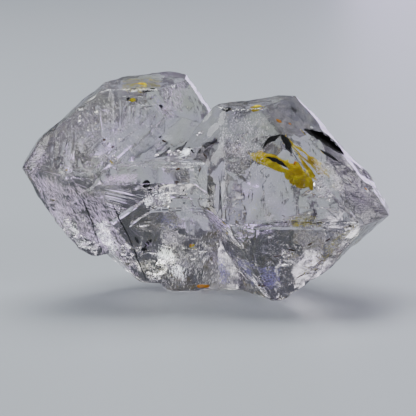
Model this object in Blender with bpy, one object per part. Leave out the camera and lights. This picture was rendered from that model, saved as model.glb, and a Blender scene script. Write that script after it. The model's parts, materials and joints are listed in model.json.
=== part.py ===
"""Petroleum quartz: two doubly pointed quartz crystals grown together, with oil and bitumen sealed inside.

The long axis of both crystals, the c axis, lies along X. +Z is up and the stone rests on z = 0.
Sizes below are in mm. Every flat face is a plane whose direction is one of quartz's own. Each
crystal is a few growth blocks that share those directions, which is how parallel growth makes
ledges, and thin slabs of the same kind raise the terraces and the striations on its faces.
The clear solid is in a front and a back half, parted along the crack that let the oil in, so
that the oil and the bitumen each lie in a pocket that is open where the halves meet.
"""

import math
import random

import bmesh
import bpy
from mathutils import Matrix, Vector

MM = 0.001

# How far the normal of each kind of face leans from the c axis, in degrees.
PRISM = 90.0
RHOMB = 51.8
BEVEL = 47.7
BLUNT = 37.0
TIP = 30.0

LEFT, RIGHT, SIDE = -1, 1, 0

BLANK = 60.0
SLAB_ROOT = 0.5
FLAT = math.radians(2.0)
TERRACE_RISE = 0.08
MIDDLE = Vector((-0.155, 2.14, 0.0))

# The crack runs parallel to the upper front prism faces, which face azimuth 30.
CRACK_AZIMUTH = 30.0
CRACK_DISTANCE = 2.734
CLEARANCE = 0.3

# The seed of the growth, and the ranges in mm that its layers and chips are drawn from.
SEED = 7
TERRACE_DRAWN_IN = (0.15, 1.1)
STRIA_DRAWN_IN = (0.0, 1.3)
STRIA_WIDTHS = (0.5, 1.0)
STRIA_RISE_SHARES = (0.22, 0.34)
STRIA_WANDER = 0.15
CHIP_OFFSET_SHARES = (0.45, 0.7)
CHIP_TURN = 6.0
FULL_TURN = 2 * math.pi


def facing(end, azimuth, lean):
    """A face's outward normal. Azimuth 0 faces -Y and 90 faces up, and end is the point it belongs to."""
    turn = math.radians(azimuth)
    tilt = math.radians(lean)
    across = math.sin(tilt)
    return Vector((end * math.cos(tilt), -across * math.cos(turn), across * math.sin(turn)))


def prism(distances):
    return {(SIDE, azimuth, PRISM): distance for azimuth, distance in distances.items()}


def point(end, distances):
    return {(end, azimuth, lean): distance for (azimuth, lean), distance in distances.items()}


# Each block: the centre that its faces are measured from, then each face's distance from it.
UPPER_LEFT = {
    "centre": (-6.0, -0.27, 8.59),
    "faces": {
        **prism({90: 5.16, 30: 2.35, -30: 2.35, -90: 6.0, 150: 9.0, -150: 7.0}),
        **point(LEFT, {(30, RHOMB): 3.73, (-30, RHOMB): 3.73, (90, RHOMB): 4.5, (150, RHOMB): 5.57,
                       (120, BEVEL): 4.98, (-90, RHOMB): 5.69, (-150, RHOMB): 5.25, (90, TIP): 5.22,
                       (-90, TIP): 5.22, (-90, 39.0): 5.2}),
        **point(RIGHT, {(62, 44.0): 5.14, (90, BLUNT): 6.81, (-30, RHOMB): 1.24, (150, RHOMB): 9.27,
                        (-150, RHOMB): 7.4, (-90, RHOMB): 7.4}),
    },
}
LEFT_LEDGE = {
    "centre": (-6.0, -0.27, 8.59),
    "faces": {
        **prism({90: 0.6, 30: 2.2, -30: 2.61, -90: 8.1, 150: 4.0, -150: 6.5}),
        **point(LEFT, {(-65, BEVEL): 3.73, (-90, RHOMB): 5.35, (-150, RHOMB): 4.9, (30, RHOMB): 2.2}),
        **point(RIGHT, {(-90, RHOMB): 9.27, (30, RHOMB): 4.94}),
    },
}
LOWER_MIDDLE = {
    "centre": (0.0, 0.0, 5.0),
    "faces": {
        **prism({90: 4.25, 30: 3.42, -30: 1.3, -90: 5.0, 150: 7.0, -150: 6.4}),
        **point(LEFT, {(-65, BEVEL): 4.43, (-90, RHOMB): 5.95, (30, RHOMB): 4.9, (-30, RHOMB): 4.9,
                       (-150, RHOMB): 5.56}),
        **point(RIGHT, {(30, RHOMB): 4.3, (-30, RHOMB): 6.5, (-90, RHOMB): 5.6, (150, RHOMB): 4.9,
                        (-150, RHOMB): 4.9, (-90, 87.5): 4.9}),
    },
}
RIGHT_CRYSTAL = {
    "centre": (6.0, -0.8, 5.8),
    "faces": {
        **prism({90: 6.83, 30: 3.37, -30: 3.36, -90: 5.8, 150: 8.0, -150: 6.5}),
        **point(LEFT, {(-30, RHOMB): 5.56, (30, RHOMB): 5.56, (120, BEVEL): 8.35, (-90, RHOMB): 6.8,
                       (150, RHOMB): 6.92, (-55, 44.0): 4.79, (-150, RHOMB): 6.8}),
        **point(RIGHT, {(68, 50.0): 3.28, (-90, RHOMB): 3.84, (82, 41.0): 3.9, (150, 43.0): 6.05,
                        (-150, RHOMB): 4.9, (-60, BEVEL): 4.14}),
    },
}


# Where the terraces are: the block, the face they rise from, and how many steps.
TERRACES = (
    (UPPER_LEFT, (SIDE, 30, PRISM), 2),
    (UPPER_LEFT, (LEFT, 30, RHOMB), 2),
    (UPPER_LEFT, (LEFT, -30, RHOMB), 2),
    (UPPER_LEFT, (SIDE, 150, PRISM), 2),
    (UPPER_LEFT, (LEFT, 150, RHOMB), 2),
    (UPPER_LEFT, (SIDE, -150, PRISM), 2),
    (RIGHT_CRYSTAL, (SIDE, 30, PRISM), 2),
    (RIGHT_CRYSTAL, (SIDE, -30, PRISM), 2),
    (RIGHT_CRYSTAL, (SIDE, 150, PRISM), 2),
    (RIGHT_CRYSTAL, (SIDE, -150, PRISM), 2),
    (RIGHT_CRYSTAL, (RIGHT, 150, 43.0), 2),
    (LOWER_MIDDLE, (SIDE, -30, PRISM), 2),
)
# Striations: the block, the azimuth of its prism face, the stretch along X, and how many.
STRIATIONS = (
    (UPPER_LEFT, 30, (-9.3, -3.0), 16),
    (UPPER_LEFT, 150, (-8.0, -1.0), 7),
    (RIGHT_CRYSTAL, 150, (2.0, 7.0), 6),
)
# Chips broken from the edges: the block, the two faces that meet there, the X of the chip and its radius.
CHIPS = (
    (UPPER_LEFT, (SIDE, 30, PRISM), (SIDE, 90, PRISM), -4.6, 0.55),
    (UPPER_LEFT, (SIDE, 30, PRISM), (LEFT, 90, RHOMB), -8.0, 0.5),
    (UPPER_LEFT, (SIDE, 30, PRISM), (SIDE, -30, PRISM), -8.9, 0.45),
    (UPPER_LEFT, (RIGHT, 62, 44.0), (SIDE, 90, PRISM), -2.2, 0.45),
    (UPPER_LEFT, (LEFT, 30, RHOMB), (LEFT, -30, RHOMB), -11.2, 0.35),
    (UPPER_LEFT, (LEFT, -90, RHOMB), (SIDE, -30, PRISM), -8.6, 0.6),
    (LEFT_LEDGE, (LEFT, -90, RHOMB), (SIDE, -30, PRISM), -4.7, 0.5),
    (LOWER_MIDDLE, (LEFT, -65, BEVEL), (SIDE, -30, PRISM), -4.4, 0.4),
    (LOWER_MIDDLE, (SIDE, -90, PRISM), (SIDE, -30, PRISM), 1.2, 0.5),
    (RIGHT_CRYSTAL, (SIDE, 90, PRISM), (SIDE, 30, PRISM), 1.7, 0.4),
    (RIGHT_CRYSTAL, (RIGHT, -90, RHOMB), (SIDE, -30, PRISM), 5.6, 0.6),
    (RIGHT_CRYSTAL, (RIGHT, -90, RHOMB), (SIDE, -30, PRISM), 6.7, 0.45),
    (RIGHT_CRYSTAL, (RIGHT, -60, BEVEL), (SIDE, -30, PRISM), 8.9, 0.4),
    (RIGHT_CRYSTAL, (RIGHT, 82, 41.0), (RIGHT, 150, 43.0), 9.1, 0.4),
    (RIGHT_CRYSTAL, (RIGHT, 68, 50.0), (RIGHT, 82, 41.0), 10.4, 0.35),
)

# The oil fills a flat cavity in the crack. Its outline is in the crack's own plane: X, then up the slope.
OIL_OUTLINE = ((2.98, 8.44), (3.7, 8.72), (5.55, 7.72), (7.13, 6.78), (6.93, 5.95), (6.21, 6.1), (4.3, 7.35))
OIL_THICKNESS = 0.9
OIL_SIDE_SHARE = 0.72
BUBBLE_OUTLINE = ((4.0, 7.95), (4.35, 8.1), (5.3, 7.6), (5.6, 7.25), (5.35, 7.1), (4.5, 7.5))
# The bitumen fills two overlapping spindles just under the right crystal's front point face.
BITUMEN_SPINDLES = (
    ((6.45, 2.75, 10.36), (8.15, 3.75, 9.15), 0.45),
    ((7.30, 3.10, 9.50), (8.30, 3.98, 8.70), 0.36),
)
SPINDLE_FLATNESS = 0.6
# How wide a spindle is along its length: the share of the length, then the share of the width.
SPINDLE_PROFILE = ((0.25, 0.8), (0.55, 1.0), (0.8, 0.7))
SPINDLE_SIDES = 6

CLEAR = (0.86, 0.86, 0.88)
OIL_YELLOW = (0.80, 0.64, 0.02)
TAR_BLACK = (0.006, 0.006, 0.009)
QUARTZ_IOR = 1.544
OIL_IOR = 1.48
BITUMEN_IOR = 1.6


def cut(solid, normal, distance):
    """Saws off what lies beyond the plane and closes the cut."""
    section = bmesh.ops.bisect_plane(
        solid,
        geom=solid.verts[:] + solid.edges[:] + solid.faces[:],
        dist=1e-8,
        plane_co=normal * distance,
        plane_no=normal,
        clear_outer=True,
    )
    rim = [item for item in section["geom_cut"] if isinstance(item, bmesh.types.BMEdge)]
    if rim:
        bmesh.ops.edgeloop_fill(solid, edges=rim)


def placed(name, solid, place):
    """Links a shape drawn in mm. It starts as a helper, which adds to the stone or cuts it."""
    solid.transform(Matrix.Scale(MM, 4) @ Matrix.Translation(-MIDDLE))
    mesh = bpy.data.meshes.new(name)
    solid.to_mesh(mesh)
    solid.free()
    made = bpy.data.objects.new(name, mesh)
    made.hide_render = True
    made.display_type = "WIRE"
    place.objects.link(made)
    return made


def sawn(name, centre, planes, place):
    """A blank sawn by each plane in turn. Each is a direction and its distance from the centre."""
    solid = bmesh.new()
    bmesh.ops.create_cube(solid, size=BLANK)
    for normal, distance in planes:
        cut(solid, normal, distance)
    if not solid.faces:
        solid.free()
        return None
    bmesh.ops.recalc_face_normals(solid, faces=solid.faces[:])
    bmesh.ops.translate(solid, verts=solid.verts[:], vec=centre)
    return placed(name, solid, place)


def grow(name, block, place):
    planes = [(facing(*face), distance) for face, distance in block["faces"].items()]
    return sawn(name, block["centre"], planes, place)


def slab(block, face, rise, draw_in):
    """A thin layer on one face, drawn in from the face's edges, which makes a terrace."""
    faces = {key: distance - draw_in() for key, distance in block["faces"].items()}
    end, azimuth, lean = face
    faces[face] = block["faces"][face] + rise
    faces[(-end, azimuth + 180, lean)] = SLAB_ROOT - block["faces"][face]
    return {"centre": block["centre"], "faces": faces}


def ridge(block, azimuth, along, width, rise, draw_in):
    """One striation: a low ridge straight across a prism face, cut by the two rhomb faces over it."""
    made = slab(block, (SIDE, azimuth, PRISM), rise, draw_in)
    foot = block["faces"][(SIDE, azimuth, PRISM)]
    lean = math.radians(RHOMB)
    offset = along - block["centre"][0]
    for end in (LEFT, RIGHT):
        reach = math.cos(lean) * (width / 2 + end * offset) + math.sin(lean) * foot
        key = (end, azimuth, RHOMB)
        made["faces"][key] = min(reach, made["faces"].get(key, reach))
    return made


def hull(name, points, place, swell=0.0):
    """The smallest convex body round the points, with every face moved out by swell."""
    solid = bmesh.new()
    for position in points:
        solid.verts.new(position)
    bmesh.ops.convex_hull(solid, input=solid.verts[:])
    bmesh.ops.dissolve_limit(solid, angle_limit=FLAT, verts=solid.verts[:], edges=solid.edges[:])
    bmesh.ops.recalc_face_normals(solid, faces=solid.faces[:])
    centre = sum((Vector(position) for position in points), Vector()) / len(points)
    planes = [(face.normal.copy(), (face.calc_center_median() - centre).dot(face.normal) + swell)
              for face in solid.faces]
    solid.free()
    return sawn(name, centre, planes, place)


def in_crack(outline, thickness):
    """Points of a flat cavity in the crack: its rim lies in the crack and both its sides are smaller."""
    normal = facing(SIDE, CRACK_AZIMUTH, PRISM)
    across = facing(SIDE, CRACK_AZIMUTH + 90, PRISM)
    rim = [Vector((x, 0, 0)) + across * up + normal * CRACK_DISTANCE for x, up in outline]
    middle = sum(rim, Vector()) / len(rim)
    near = [middle.lerp(position, OIL_SIDE_SHARE) - normal * thickness / 2 for position in rim]
    far = [middle.lerp(position, OIL_SIDE_SHARE) + normal * thickness / 2 for position in rim]
    return rim + near + far


def spindle(start, end, width):
    """Points of a body with two sharp ends, flattened along the point face that it lies under."""
    start, end = Vector(start), Vector(end)
    thin = facing(RIGHT, 68, 50.0)
    along = (end - start).normalized()
    wide = along.cross(thin).normalized()
    thin = wide.cross(along)
    points = [start, end]
    for share, size in SPINDLE_PROFILE:
        for side in range(SPINDLE_SIDES):
            angle = FULL_TURN * side / SPINDLE_SIDES
            offset = wide * math.cos(angle) + thin * math.sin(angle) * SPINDLE_FLATNESS
            points.append(start.lerp(end, share) + offset * width * size)
    return points


def meeting(block, first, second, along):
    """The point at this X where two faces of a block meet, in mm."""
    centre = Vector(block["centre"])
    planes = [(facing(*face), block["faces"][face]) for face in (first, second)]
    planes.append((Vector((1, 0, 0)), along - centre.x))
    directions = Matrix([normal for normal, distance in planes])
    return centre + directions.inverted() @ Vector([distance for normal, distance in planes])


def collection(name):
    made = bpy.data.collections.new(name)
    bpy.context.scene.collection.children.link(made)
    made.hide_render = True
    return made


def boolean(target, name, operation, tool):
    modifier = target.modifiers.new(name, "BOOLEAN")
    modifier.operation = operation
    modifier.solver = "EXACT"
    if isinstance(tool, bpy.types.Collection):
        modifier.operand_type = "COLLECTION"
        modifier.collection = tool
    else:
        modifier.object = tool


def shown(part, colour, roughness, transmission, ior):
    """Turns a helper into a part of the model, with a material of its own. The colour is linear."""
    part.hide_render = False
    part.display_type = "TEXTURED"
    material = bpy.data.materials.new(part.name)
    material.use_nodes = True
    surface = material.node_tree.nodes["Principled BSDF"]
    surface.inputs["Base Color"].default_value = (*colour, 1.0)
    surface.inputs["Metallic"].default_value = 0.0
    surface.inputs["Roughness"].default_value = roughness
    surface.inputs["Transmission Weight"].default_value = transmission
    surface.inputs["IOR"].default_value = ior
    material.diffuse_color = (*colour, 1.0)
    part.data.materials.append(material)


for old in list(bpy.data.objects):
    bpy.data.objects.remove(old, do_unlink=True)

scene = bpy.context.scene.collection
growth = collection("growth")
grow("left_ledge", LEFT_LEDGE, growth)
grow("lower_middle", LOWER_MIDDLE, growth)
grow("right_crystal", RIGHT_CRYSTAL, growth)

draw = random.Random(SEED)
for number, (block, face, steps) in enumerate(TERRACES):
    for step in range(steps):
        layer = slab(block, face, TERRACE_RISE * (step + 1), lambda: draw.uniform(*TERRACE_DRAWN_IN))
        grow(f"terrace_{number}_{step}", layer, growth)
for number, (block, azimuth, (first, last), count) in enumerate(STRIATIONS):
    for step in range(count):
        along = first + (last - first) * step / (count - 1) + draw.uniform(-STRIA_WANDER, STRIA_WANDER)
        width = draw.uniform(*STRIA_WIDTHS)
        rise = width * draw.uniform(*STRIA_RISE_SHARES)
        layer = ridge(block, azimuth, along, width, rise, lambda: draw.uniform(*STRIA_DRAWN_IN))
        grow(f"striation_{number}_{step}", layer, growth)

chips = collection("chips")
for number, (block, first, second, along, radius) in enumerate(CHIPS):
    scoop = bmesh.new()
    bmesh.ops.create_icosphere(scoop, subdivisions=2, radius=radius)
    outward = (facing(*first) + facing(*second)).normalized()
    centre = meeting(block, first, second, along) + outward * radius * draw.uniform(*CHIP_OFFSET_SHARES)
    spun = Matrix.Rotation(draw.uniform(0, CHIP_TURN), 4, "Z")
    turned = spun @ Matrix.Rotation(draw.uniform(0, CHIP_TURN), 4, "X")
    scoop.transform(Matrix.Translation(centre) @ turned)
    placed(f"chip_{number}", scoop, chips)

pockets = collection("pockets")
hull("oil_pocket", in_crack(OIL_OUTLINE, OIL_THICKNESS), pockets, CLEARANCE)
for number, spindle_ends in enumerate(BITUMEN_SPINDLES):
    hull(f"bitumen_pocket_{number}", spindle(*spindle_ends), pockets, CLEARANCE)

crack = facing(SIDE, CRACK_AZIMUTH, PRISM)
origin = Vector()
in_front = sawn("all_in_front", origin, [(-crack, -CRACK_DISTANCE)], scene)
behind = sawn("all_behind", origin, [(crack, CRACK_DISTANCE + CLEARANCE / 2)], scene)
for name, saw in (("quartz_front", behind), ("quartz_back", in_front)):
    half = grow(name, UPPER_LEFT, scene)
    boolean(half, "grown", "UNION", growth)
    boolean(half, "chipped", "DIFFERENCE", chips)
    boolean(half, "parted", "DIFFERENCE", saw)
    boolean(half, "hollowed", "DIFFERENCE", pockets)
    shown(half, CLEAR, 0.04, 1.0, QUARTZ_IOR)

oil = hull("petroleum", in_crack(OIL_OUTLINE, OIL_THICKNESS), scene)
bubble = hull("gas_bubble", in_crack(BUBBLE_OUTLINE, 4 * OIL_THICKNESS), scene)
boolean(oil, "bubble", "DIFFERENCE", bubble)
shown(oil, OIL_YELLOW, 0.08, 0.6, OIL_IOR)

upper, lower = BITUMEN_SPINDLES
bitumen = hull("bitumen", spindle(*upper), scene)
boolean(bitumen, "second_lobe", "UNION", hull("bitumen_second_lobe", spindle(*lower), scene))
shown(bitumen, TAR_BLACK, 0.25, 0.0, BITUMEN_IOR)
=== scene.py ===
# %% [markdown]
# Petroleum quartz
#
# Two clear quartz crystals, each with a point at both ends, that grew together and shut in some
# crude oil. The stone is about 24 mm long. This lesson dresses the plain CAD model: it grows the
# crystal's fine steps, opens the silvery cracks and bubbles inside it, and fills its pockets
# with yellow oil and black bitumen. It is written for someone who is learning Blender.

# %% Load the frame
import json
import math
import random

import bmesh
import bpy
from mathutils import Matrix, Vector, geometry, noise
from mathutils.bvhtree import BVHTree

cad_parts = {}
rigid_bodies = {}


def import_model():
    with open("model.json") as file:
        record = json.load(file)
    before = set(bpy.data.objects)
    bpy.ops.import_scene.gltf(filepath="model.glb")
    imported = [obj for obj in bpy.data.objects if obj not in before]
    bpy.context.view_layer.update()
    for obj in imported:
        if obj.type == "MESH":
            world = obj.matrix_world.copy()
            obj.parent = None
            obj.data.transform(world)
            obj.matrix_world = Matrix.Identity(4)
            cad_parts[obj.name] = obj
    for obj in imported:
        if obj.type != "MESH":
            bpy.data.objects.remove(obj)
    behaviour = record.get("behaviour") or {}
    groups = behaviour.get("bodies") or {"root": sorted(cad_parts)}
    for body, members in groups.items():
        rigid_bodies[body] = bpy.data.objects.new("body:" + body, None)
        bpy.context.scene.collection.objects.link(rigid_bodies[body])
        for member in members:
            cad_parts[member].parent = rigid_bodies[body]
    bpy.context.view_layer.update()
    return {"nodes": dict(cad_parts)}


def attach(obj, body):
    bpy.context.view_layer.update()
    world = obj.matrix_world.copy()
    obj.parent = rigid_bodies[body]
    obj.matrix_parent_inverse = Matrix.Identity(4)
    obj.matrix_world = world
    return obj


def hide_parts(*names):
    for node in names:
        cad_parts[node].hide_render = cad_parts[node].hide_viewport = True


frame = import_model()
print("nodes:", sorted(frame["nodes"]))

# %% [markdown]
# The camera comes first, because the inclusions are placed by what it sees. The photograph looks
# along +Y and 12 degrees down, with a long lens. 416 pixels span 27.4 mm at the stone.

# %% Camera
MM = 0.001
PHOTO = 416
PIXELS_PER_MM = 15.17
LOOK_DOWN = math.radians(12.0)
DISTANCE = 180.0
SENSOR = 36.0
AIM = Vector((0.3, 0.0, 5.48))

toward_camera = Vector((0.0, -math.cos(LOOK_DOWN), math.sin(LOOK_DOWN)))
camera_data = bpy.data.cameras.new("camera")
camera_data.sensor_width = SENSOR
camera_data.lens = SENSOR * DISTANCE * PIXELS_PER_MM / PHOTO
camera_data.clip_start = 0.01
camera = bpy.data.objects.new("camera", camera_data)
camera.location = (AIM + toward_camera * DISTANCE) * MM
camera.rotation_euler = (math.radians(90.0) - LOOK_DOWN, 0.0, 0.0)
bpy.context.scene.collection.objects.link(camera)
bpy.context.scene.camera = camera
print(f"lens {camera_data.lens:.0f} mm")

# %% [markdown]
# Quartz grows flat faces in a few fixed directions. Both crystals have their long c axis along X,
# so a direction is told by three things: the point it belongs to, how far round the axis it
# faces, and how far it leans from the axis. Prism faces lean 90 degrees and run along the sides.
# Rhomb faces lean 51.8 degrees and make the points. A block is a blank sawn by such planes, which
# keeps every face truly flat, as no sculpted mesh would.

# %% Directions and sawing
PRISM = 90.0
RHOMB = 51.8
BEVEL = 47.7
BLUNT = 37.0
TIP = 30.0
LEFT, RIGHT, SIDE = -1, 1, 0
BLANK = 60.0
SLAB_ROOT = 0.5
MIDDLE = Vector((-0.155, 2.14, 0.0))
draw = random.Random(7)


def facing(end, azimuth, lean):
    """A face's outward normal. Azimuth 0 faces the front and 90 faces up, and end is its point's side."""
    turn = math.radians(azimuth)
    tilt = math.radians(lean)
    across = math.sin(tilt)
    return Vector((end * math.cos(tilt), -across * math.cos(turn), across * math.sin(turn)))


def cut(solid, normal, distance):
    """Saws off what lies beyond a plane and closes the cut."""
    sawn = bmesh.ops.bisect_plane(
        solid,
        geom=solid.verts[:] + solid.edges[:] + solid.faces[:],
        dist=1e-8,
        plane_co=normal * distance,
        plane_no=normal,
        clear_outer=True,
    )
    rim = [item for item in sawn["geom_cut"] if isinstance(item, bmesh.types.BMEdge)]
    if rim:
        bmesh.ops.edgeloop_fill(solid, edges=rim)


print("prism face at azimuth 30:", tuple(round(v, 3) for v in facing(SIDE, 30, PRISM)))

# %% [markdown]
# Four blocks make the stone: the upper part of the left crystal, a ledge under its left point,
# the lower middle, and the right crystal. They share their face directions, which is what
# parallel growth looks like. Each number is a face's distance from the block's centre in mm.

# %% Growth blocks
def prism(distances):
    """The side faces of a block, from the distance at each azimuth."""
    return {(SIDE, azimuth, PRISM): distance for azimuth, distance in distances.items()}


def point(end, distances):
    """The faces of one point of a block, from the distance at each azimuth and lean."""
    return {(end, azimuth, lean): distance for (azimuth, lean), distance in distances.items()}


UPPER_LEFT = {
    "centre": Vector((-6.0, -0.27, 8.59)),
    "faces": {
        **prism({90: 5.16, 30: 2.35, -30: 2.35, -90: 6.0, 150: 9.0, -150: 7.0}),
        **point(LEFT, {(30, RHOMB): 3.73, (-30, RHOMB): 3.73, (90, RHOMB): 4.5, (150, RHOMB): 5.57,
                       (120, BEVEL): 4.98, (-90, RHOMB): 5.69, (-150, RHOMB): 5.25, (90, TIP): 5.22,
                       (-90, TIP): 5.22, (-90, 39.0): 5.2}),
        **point(RIGHT, {(62, 44.0): 5.14, (90, BLUNT): 6.81, (-30, RHOMB): 1.24, (150, RHOMB): 9.27,
                        (-150, RHOMB): 7.4, (-90, RHOMB): 7.4}),
    },
}
LEFT_LEDGE = {
    "centre": Vector((-6.0, -0.27, 8.59)),
    "faces": {
        **prism({90: 0.6, 30: 2.2, -30: 2.61, -90: 8.1, 150: 4.0, -150: 6.5}),
        **point(LEFT, {(-65, BEVEL): 3.73, (-90, RHOMB): 5.35, (-150, RHOMB): 4.9, (30, RHOMB): 2.2}),
        **point(RIGHT, {(-90, RHOMB): 9.27, (30, RHOMB): 4.94}),
    },
}
LOWER_MIDDLE = {
    "centre": Vector((0.0, 0.0, 5.0)),
    "faces": {
        **prism({90: 4.25, 30: 3.42, -30: 1.3, -90: 5.0, 150: 7.0, -150: 6.4}),
        **point(LEFT, {(-65, BEVEL): 4.43, (-90, RHOMB): 5.95, (30, RHOMB): 4.9, (-30, RHOMB): 4.9,
                       (-150, RHOMB): 5.56}),
        **point(RIGHT, {(30, RHOMB): 4.3, (-30, RHOMB): 6.5, (-90, RHOMB): 5.6, (150, RHOMB): 4.9,
                        (-150, RHOMB): 4.9, (-90, 87.5): 4.9}),
    },
}
RIGHT_CRYSTAL = {
    "centre": Vector((6.0, -0.8, 5.8)),
    "faces": {
        **prism({90: 6.83, 30: 3.37, -30: 3.36, -90: 5.8, 150: 8.0, -150: 6.5}),
        **point(LEFT, {(-30, RHOMB): 5.56, (30, RHOMB): 5.56, (120, BEVEL): 8.35, (-90, RHOMB): 6.8,
                       (150, RHOMB): 6.92, (-55, 44.0): 4.79, (-150, RHOMB): 6.8}),
        **point(RIGHT, {(68, 50.0): 3.28, (-90, RHOMB): 3.84, (82, 41.0): 3.9, (150, 43.0): 6.05,
                        (-150, RHOMB): 4.9, (-60, BEVEL): 4.14}),
    },
}
BLOCKS = (UPPER_LEFT, LEFT_LEDGE, LOWER_MIDDLE, RIGHT_CRYSTAL)
print("faces a block:", [len(block["faces"]) for block in BLOCKS])

# %% [markdown]
# No crystal edge is perfectly sharp. Each sharp edge of a block gets a narrow facet between its two
# faces, cut a few hundredths of a millimetre deep, which catches the light as a thin bright line.

# %% Eased edges
EASE_OVER = math.radians(18.0)
EASE_SHARES = (0.4, 1.6)


def ease_edges(solid, width):
    """Saws each sharp edge off. width is about how deep the cut goes, in mm."""
    planes = []
    for edge in solid.edges:
        first, second = edge.link_faces
        if first.normal.angle(second.normal) > EASE_OVER:
            middle = (edge.verts[0].co + edge.verts[1].co) / 2
            outward = (first.normal + second.normal).normalized()
            planes.append((outward, middle.dot(outward) - width * draw.uniform(*EASE_SHARES)))
    for normal, distance in planes:
        cut(solid, normal, distance)


def grow(block, easing):
    """One block as a bmesh, in mm, in the stone's own place."""
    solid = bmesh.new()
    bmesh.ops.create_cube(solid, size=BLANK)
    for face, distance in block["faces"].items():
        cut(solid, facing(*face), distance)
    if not solid.faces:
        solid.free()
        return None
    bmesh.ops.recalc_face_normals(solid, faces=solid.faces[:])
    if easing:
        ease_edges(solid, easing)
        bmesh.ops.recalc_face_normals(solid, faces=solid.faces[:])
    bmesh.ops.translate(solid, verts=solid.verts[:], vec=block["centre"])
    return solid


growth = bpy.data.collections.new("growth")


def layer(name, solid, place):
    """Links a bmesh drawn in mm as an object in metres."""
    if solid is None:
        return None
    solid.transform(Matrix.Scale(MM, 4) @ Matrix.Translation(-MIDDLE))
    mesh = bpy.data.meshes.new(name)
    solid.to_mesh(mesh)
    solid.free()
    made = bpy.data.objects.new(name, mesh)
    place.objects.link(made)
    return made


EDGE = 0.035
NEIGHBOURS = {"left_ledge": LEFT_LEDGE, "lower_middle": LOWER_MIDDLE, "right_crystal": RIGHT_CRYSTAL}
for name, block in NEIGHBOURS.items():
    layer(name, grow(block, EDGE), growth)
quartz = layer("quartz", grow(UPPER_LEFT, EDGE), bpy.context.scene.collection)

# %% [markdown]
# Crystals grow layer by layer. A terrace is a thin slab on a face, drawn in from its edges, and a
# striation is a low ridge that runs straight across a prism face. Both are sawn by the same
# planes as the blocks, so their sides line up with the rest of the stone. The terraces on the
# right crystal's upper front face are almost too low to see, because that face looks smooth.

# %% Terraces and striations
TERRACE_RISE = 0.08
LOW_TERRACE_RISE = 0.008
TERRACES = (
    (UPPER_LEFT, (SIDE, 30, PRISM), 2),
    (UPPER_LEFT, (LEFT, 30, RHOMB), 2),
    (UPPER_LEFT, (LEFT, -30, RHOMB), 2),
    (UPPER_LEFT, (SIDE, 150, PRISM), 2),
    (UPPER_LEFT, (LEFT, 150, RHOMB), 2),
    (UPPER_LEFT, (SIDE, -150, PRISM), 2),
    (RIGHT_CRYSTAL, (SIDE, 30, PRISM), 2),
    (RIGHT_CRYSTAL, (SIDE, -30, PRISM), 2),
    (RIGHT_CRYSTAL, (SIDE, 150, PRISM), 2),
    (RIGHT_CRYSTAL, (SIDE, -150, PRISM), 2),
    (RIGHT_CRYSTAL, (RIGHT, 150, 43.0), 2),
    (LOWER_MIDDLE, (SIDE, -30, PRISM), 2),
)
STRIATIONS = (
    (UPPER_LEFT, 30, (-9.3, -3.0), 16),
    (UPPER_LEFT, 150, (-8.0, -1.0), 7),
    (RIGHT_CRYSTAL, 150, (2.0, 7.0), 6),
)
TERRACE_DRAWN_IN = (0.15, 1.1)
STRIA_DRAWN_IN = (0.0, 1.3)
STRIA_WANDER = 0.15
STRIA_WIDTHS = (0.5, 1.0)
STRIA_RISE_SHARES = (0.22, 0.34)


def slab(block, face, rise, draw_in):
    """A block with one face a little further out, its sides drawn in and its back sawn off."""
    faces = {key: distance - draw_in() for key, distance in block["faces"].items()}
    end, azimuth, lean = face
    faces[face] = block["faces"][face] + rise
    faces[(-end, azimuth + 180, lean)] = SLAB_ROOT - block["faces"][face]
    return {"centre": block["centre"], "faces": faces}


def ridge(block, azimuth, along, width, rise, draw_in):
    """One striation: a slab that two rhomb faces cut to a narrow strip across a prism face."""
    made = slab(block, (SIDE, azimuth, PRISM), rise, draw_in)
    foot = block["faces"][(SIDE, azimuth, PRISM)]
    lean = math.radians(RHOMB)
    offset = along - block["centre"].x
    for end in (LEFT, RIGHT):
        reach = math.cos(lean) * (width / 2 + end * offset) + math.sin(lean) * foot
        key = (end, azimuth, RHOMB)
        made["faces"][key] = min(reach, made["faces"].get(key, reach))
    return made


relief = random.Random(7)
for number, (block, face, steps) in enumerate(TERRACES):
    rise = LOW_TERRACE_RISE if block is RIGHT_CRYSTAL and face == (SIDE, 30, PRISM) else TERRACE_RISE
    for step in range(steps):
        made = slab(block, face, rise * (step + 1), lambda: relief.uniform(*TERRACE_DRAWN_IN))
        layer(f"terrace_{number}_{step}", grow(made, 0.0), growth)
for number, (block, azimuth, (first, last), count) in enumerate(STRIATIONS):
    for step in range(count):
        along = first + (last - first) * step / (count - 1) + relief.uniform(-STRIA_WANDER, STRIA_WANDER)
        width = relief.uniform(*STRIA_WIDTHS)
        rise = width * relief.uniform(*STRIA_RISE_SHARES)
        made = ridge(block, azimuth, along, width, rise, lambda: relief.uniform(*STRIA_DRAWN_IN))
        layer(f"striation_{number}_{step}", grow(made, 0.0), growth)

# %% [markdown]
# One exact Boolean joins the four blocks and all their layers, so nothing inside the stone is
# left over from one block in another. Clear quartz would show every such wall.

# %% Join the growth
def boolean(target, operation, tools):
    """Joins or cuts a mesh with every shape of a collection."""
    modifier = target.modifiers.new(operation.lower(), "BOOLEAN")
    modifier.operation = operation
    modifier.solver = "EXACT"
    modifier.operand_type = "COLLECTION"
    modifier.collection = tools
    graph = bpy.context.evaluated_depsgraph_get()
    mesh = bpy.data.meshes.new_from_object(target.evaluated_get(graph))
    target.modifiers.clear()
    target.data = mesh
    for tool in list(tools.objects):
        bpy.data.objects.remove(tool, do_unlink=True)
    bpy.data.collections.remove(tools)


bpy.context.scene.collection.children.link(growth)
boolean(quartz, "UNION", growth)
print("quartz faces after joining:", len(quartz.data.polygons))

# %% [markdown]
# Edges get chipped as a crystal is dug out and sorted. A chip is a round scoop taken out where two
# faces meet. The larger ones are the plain model's, and smaller nicks run along the ledges and
# the long edges in front, which would otherwise end in ruled lines.

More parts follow.
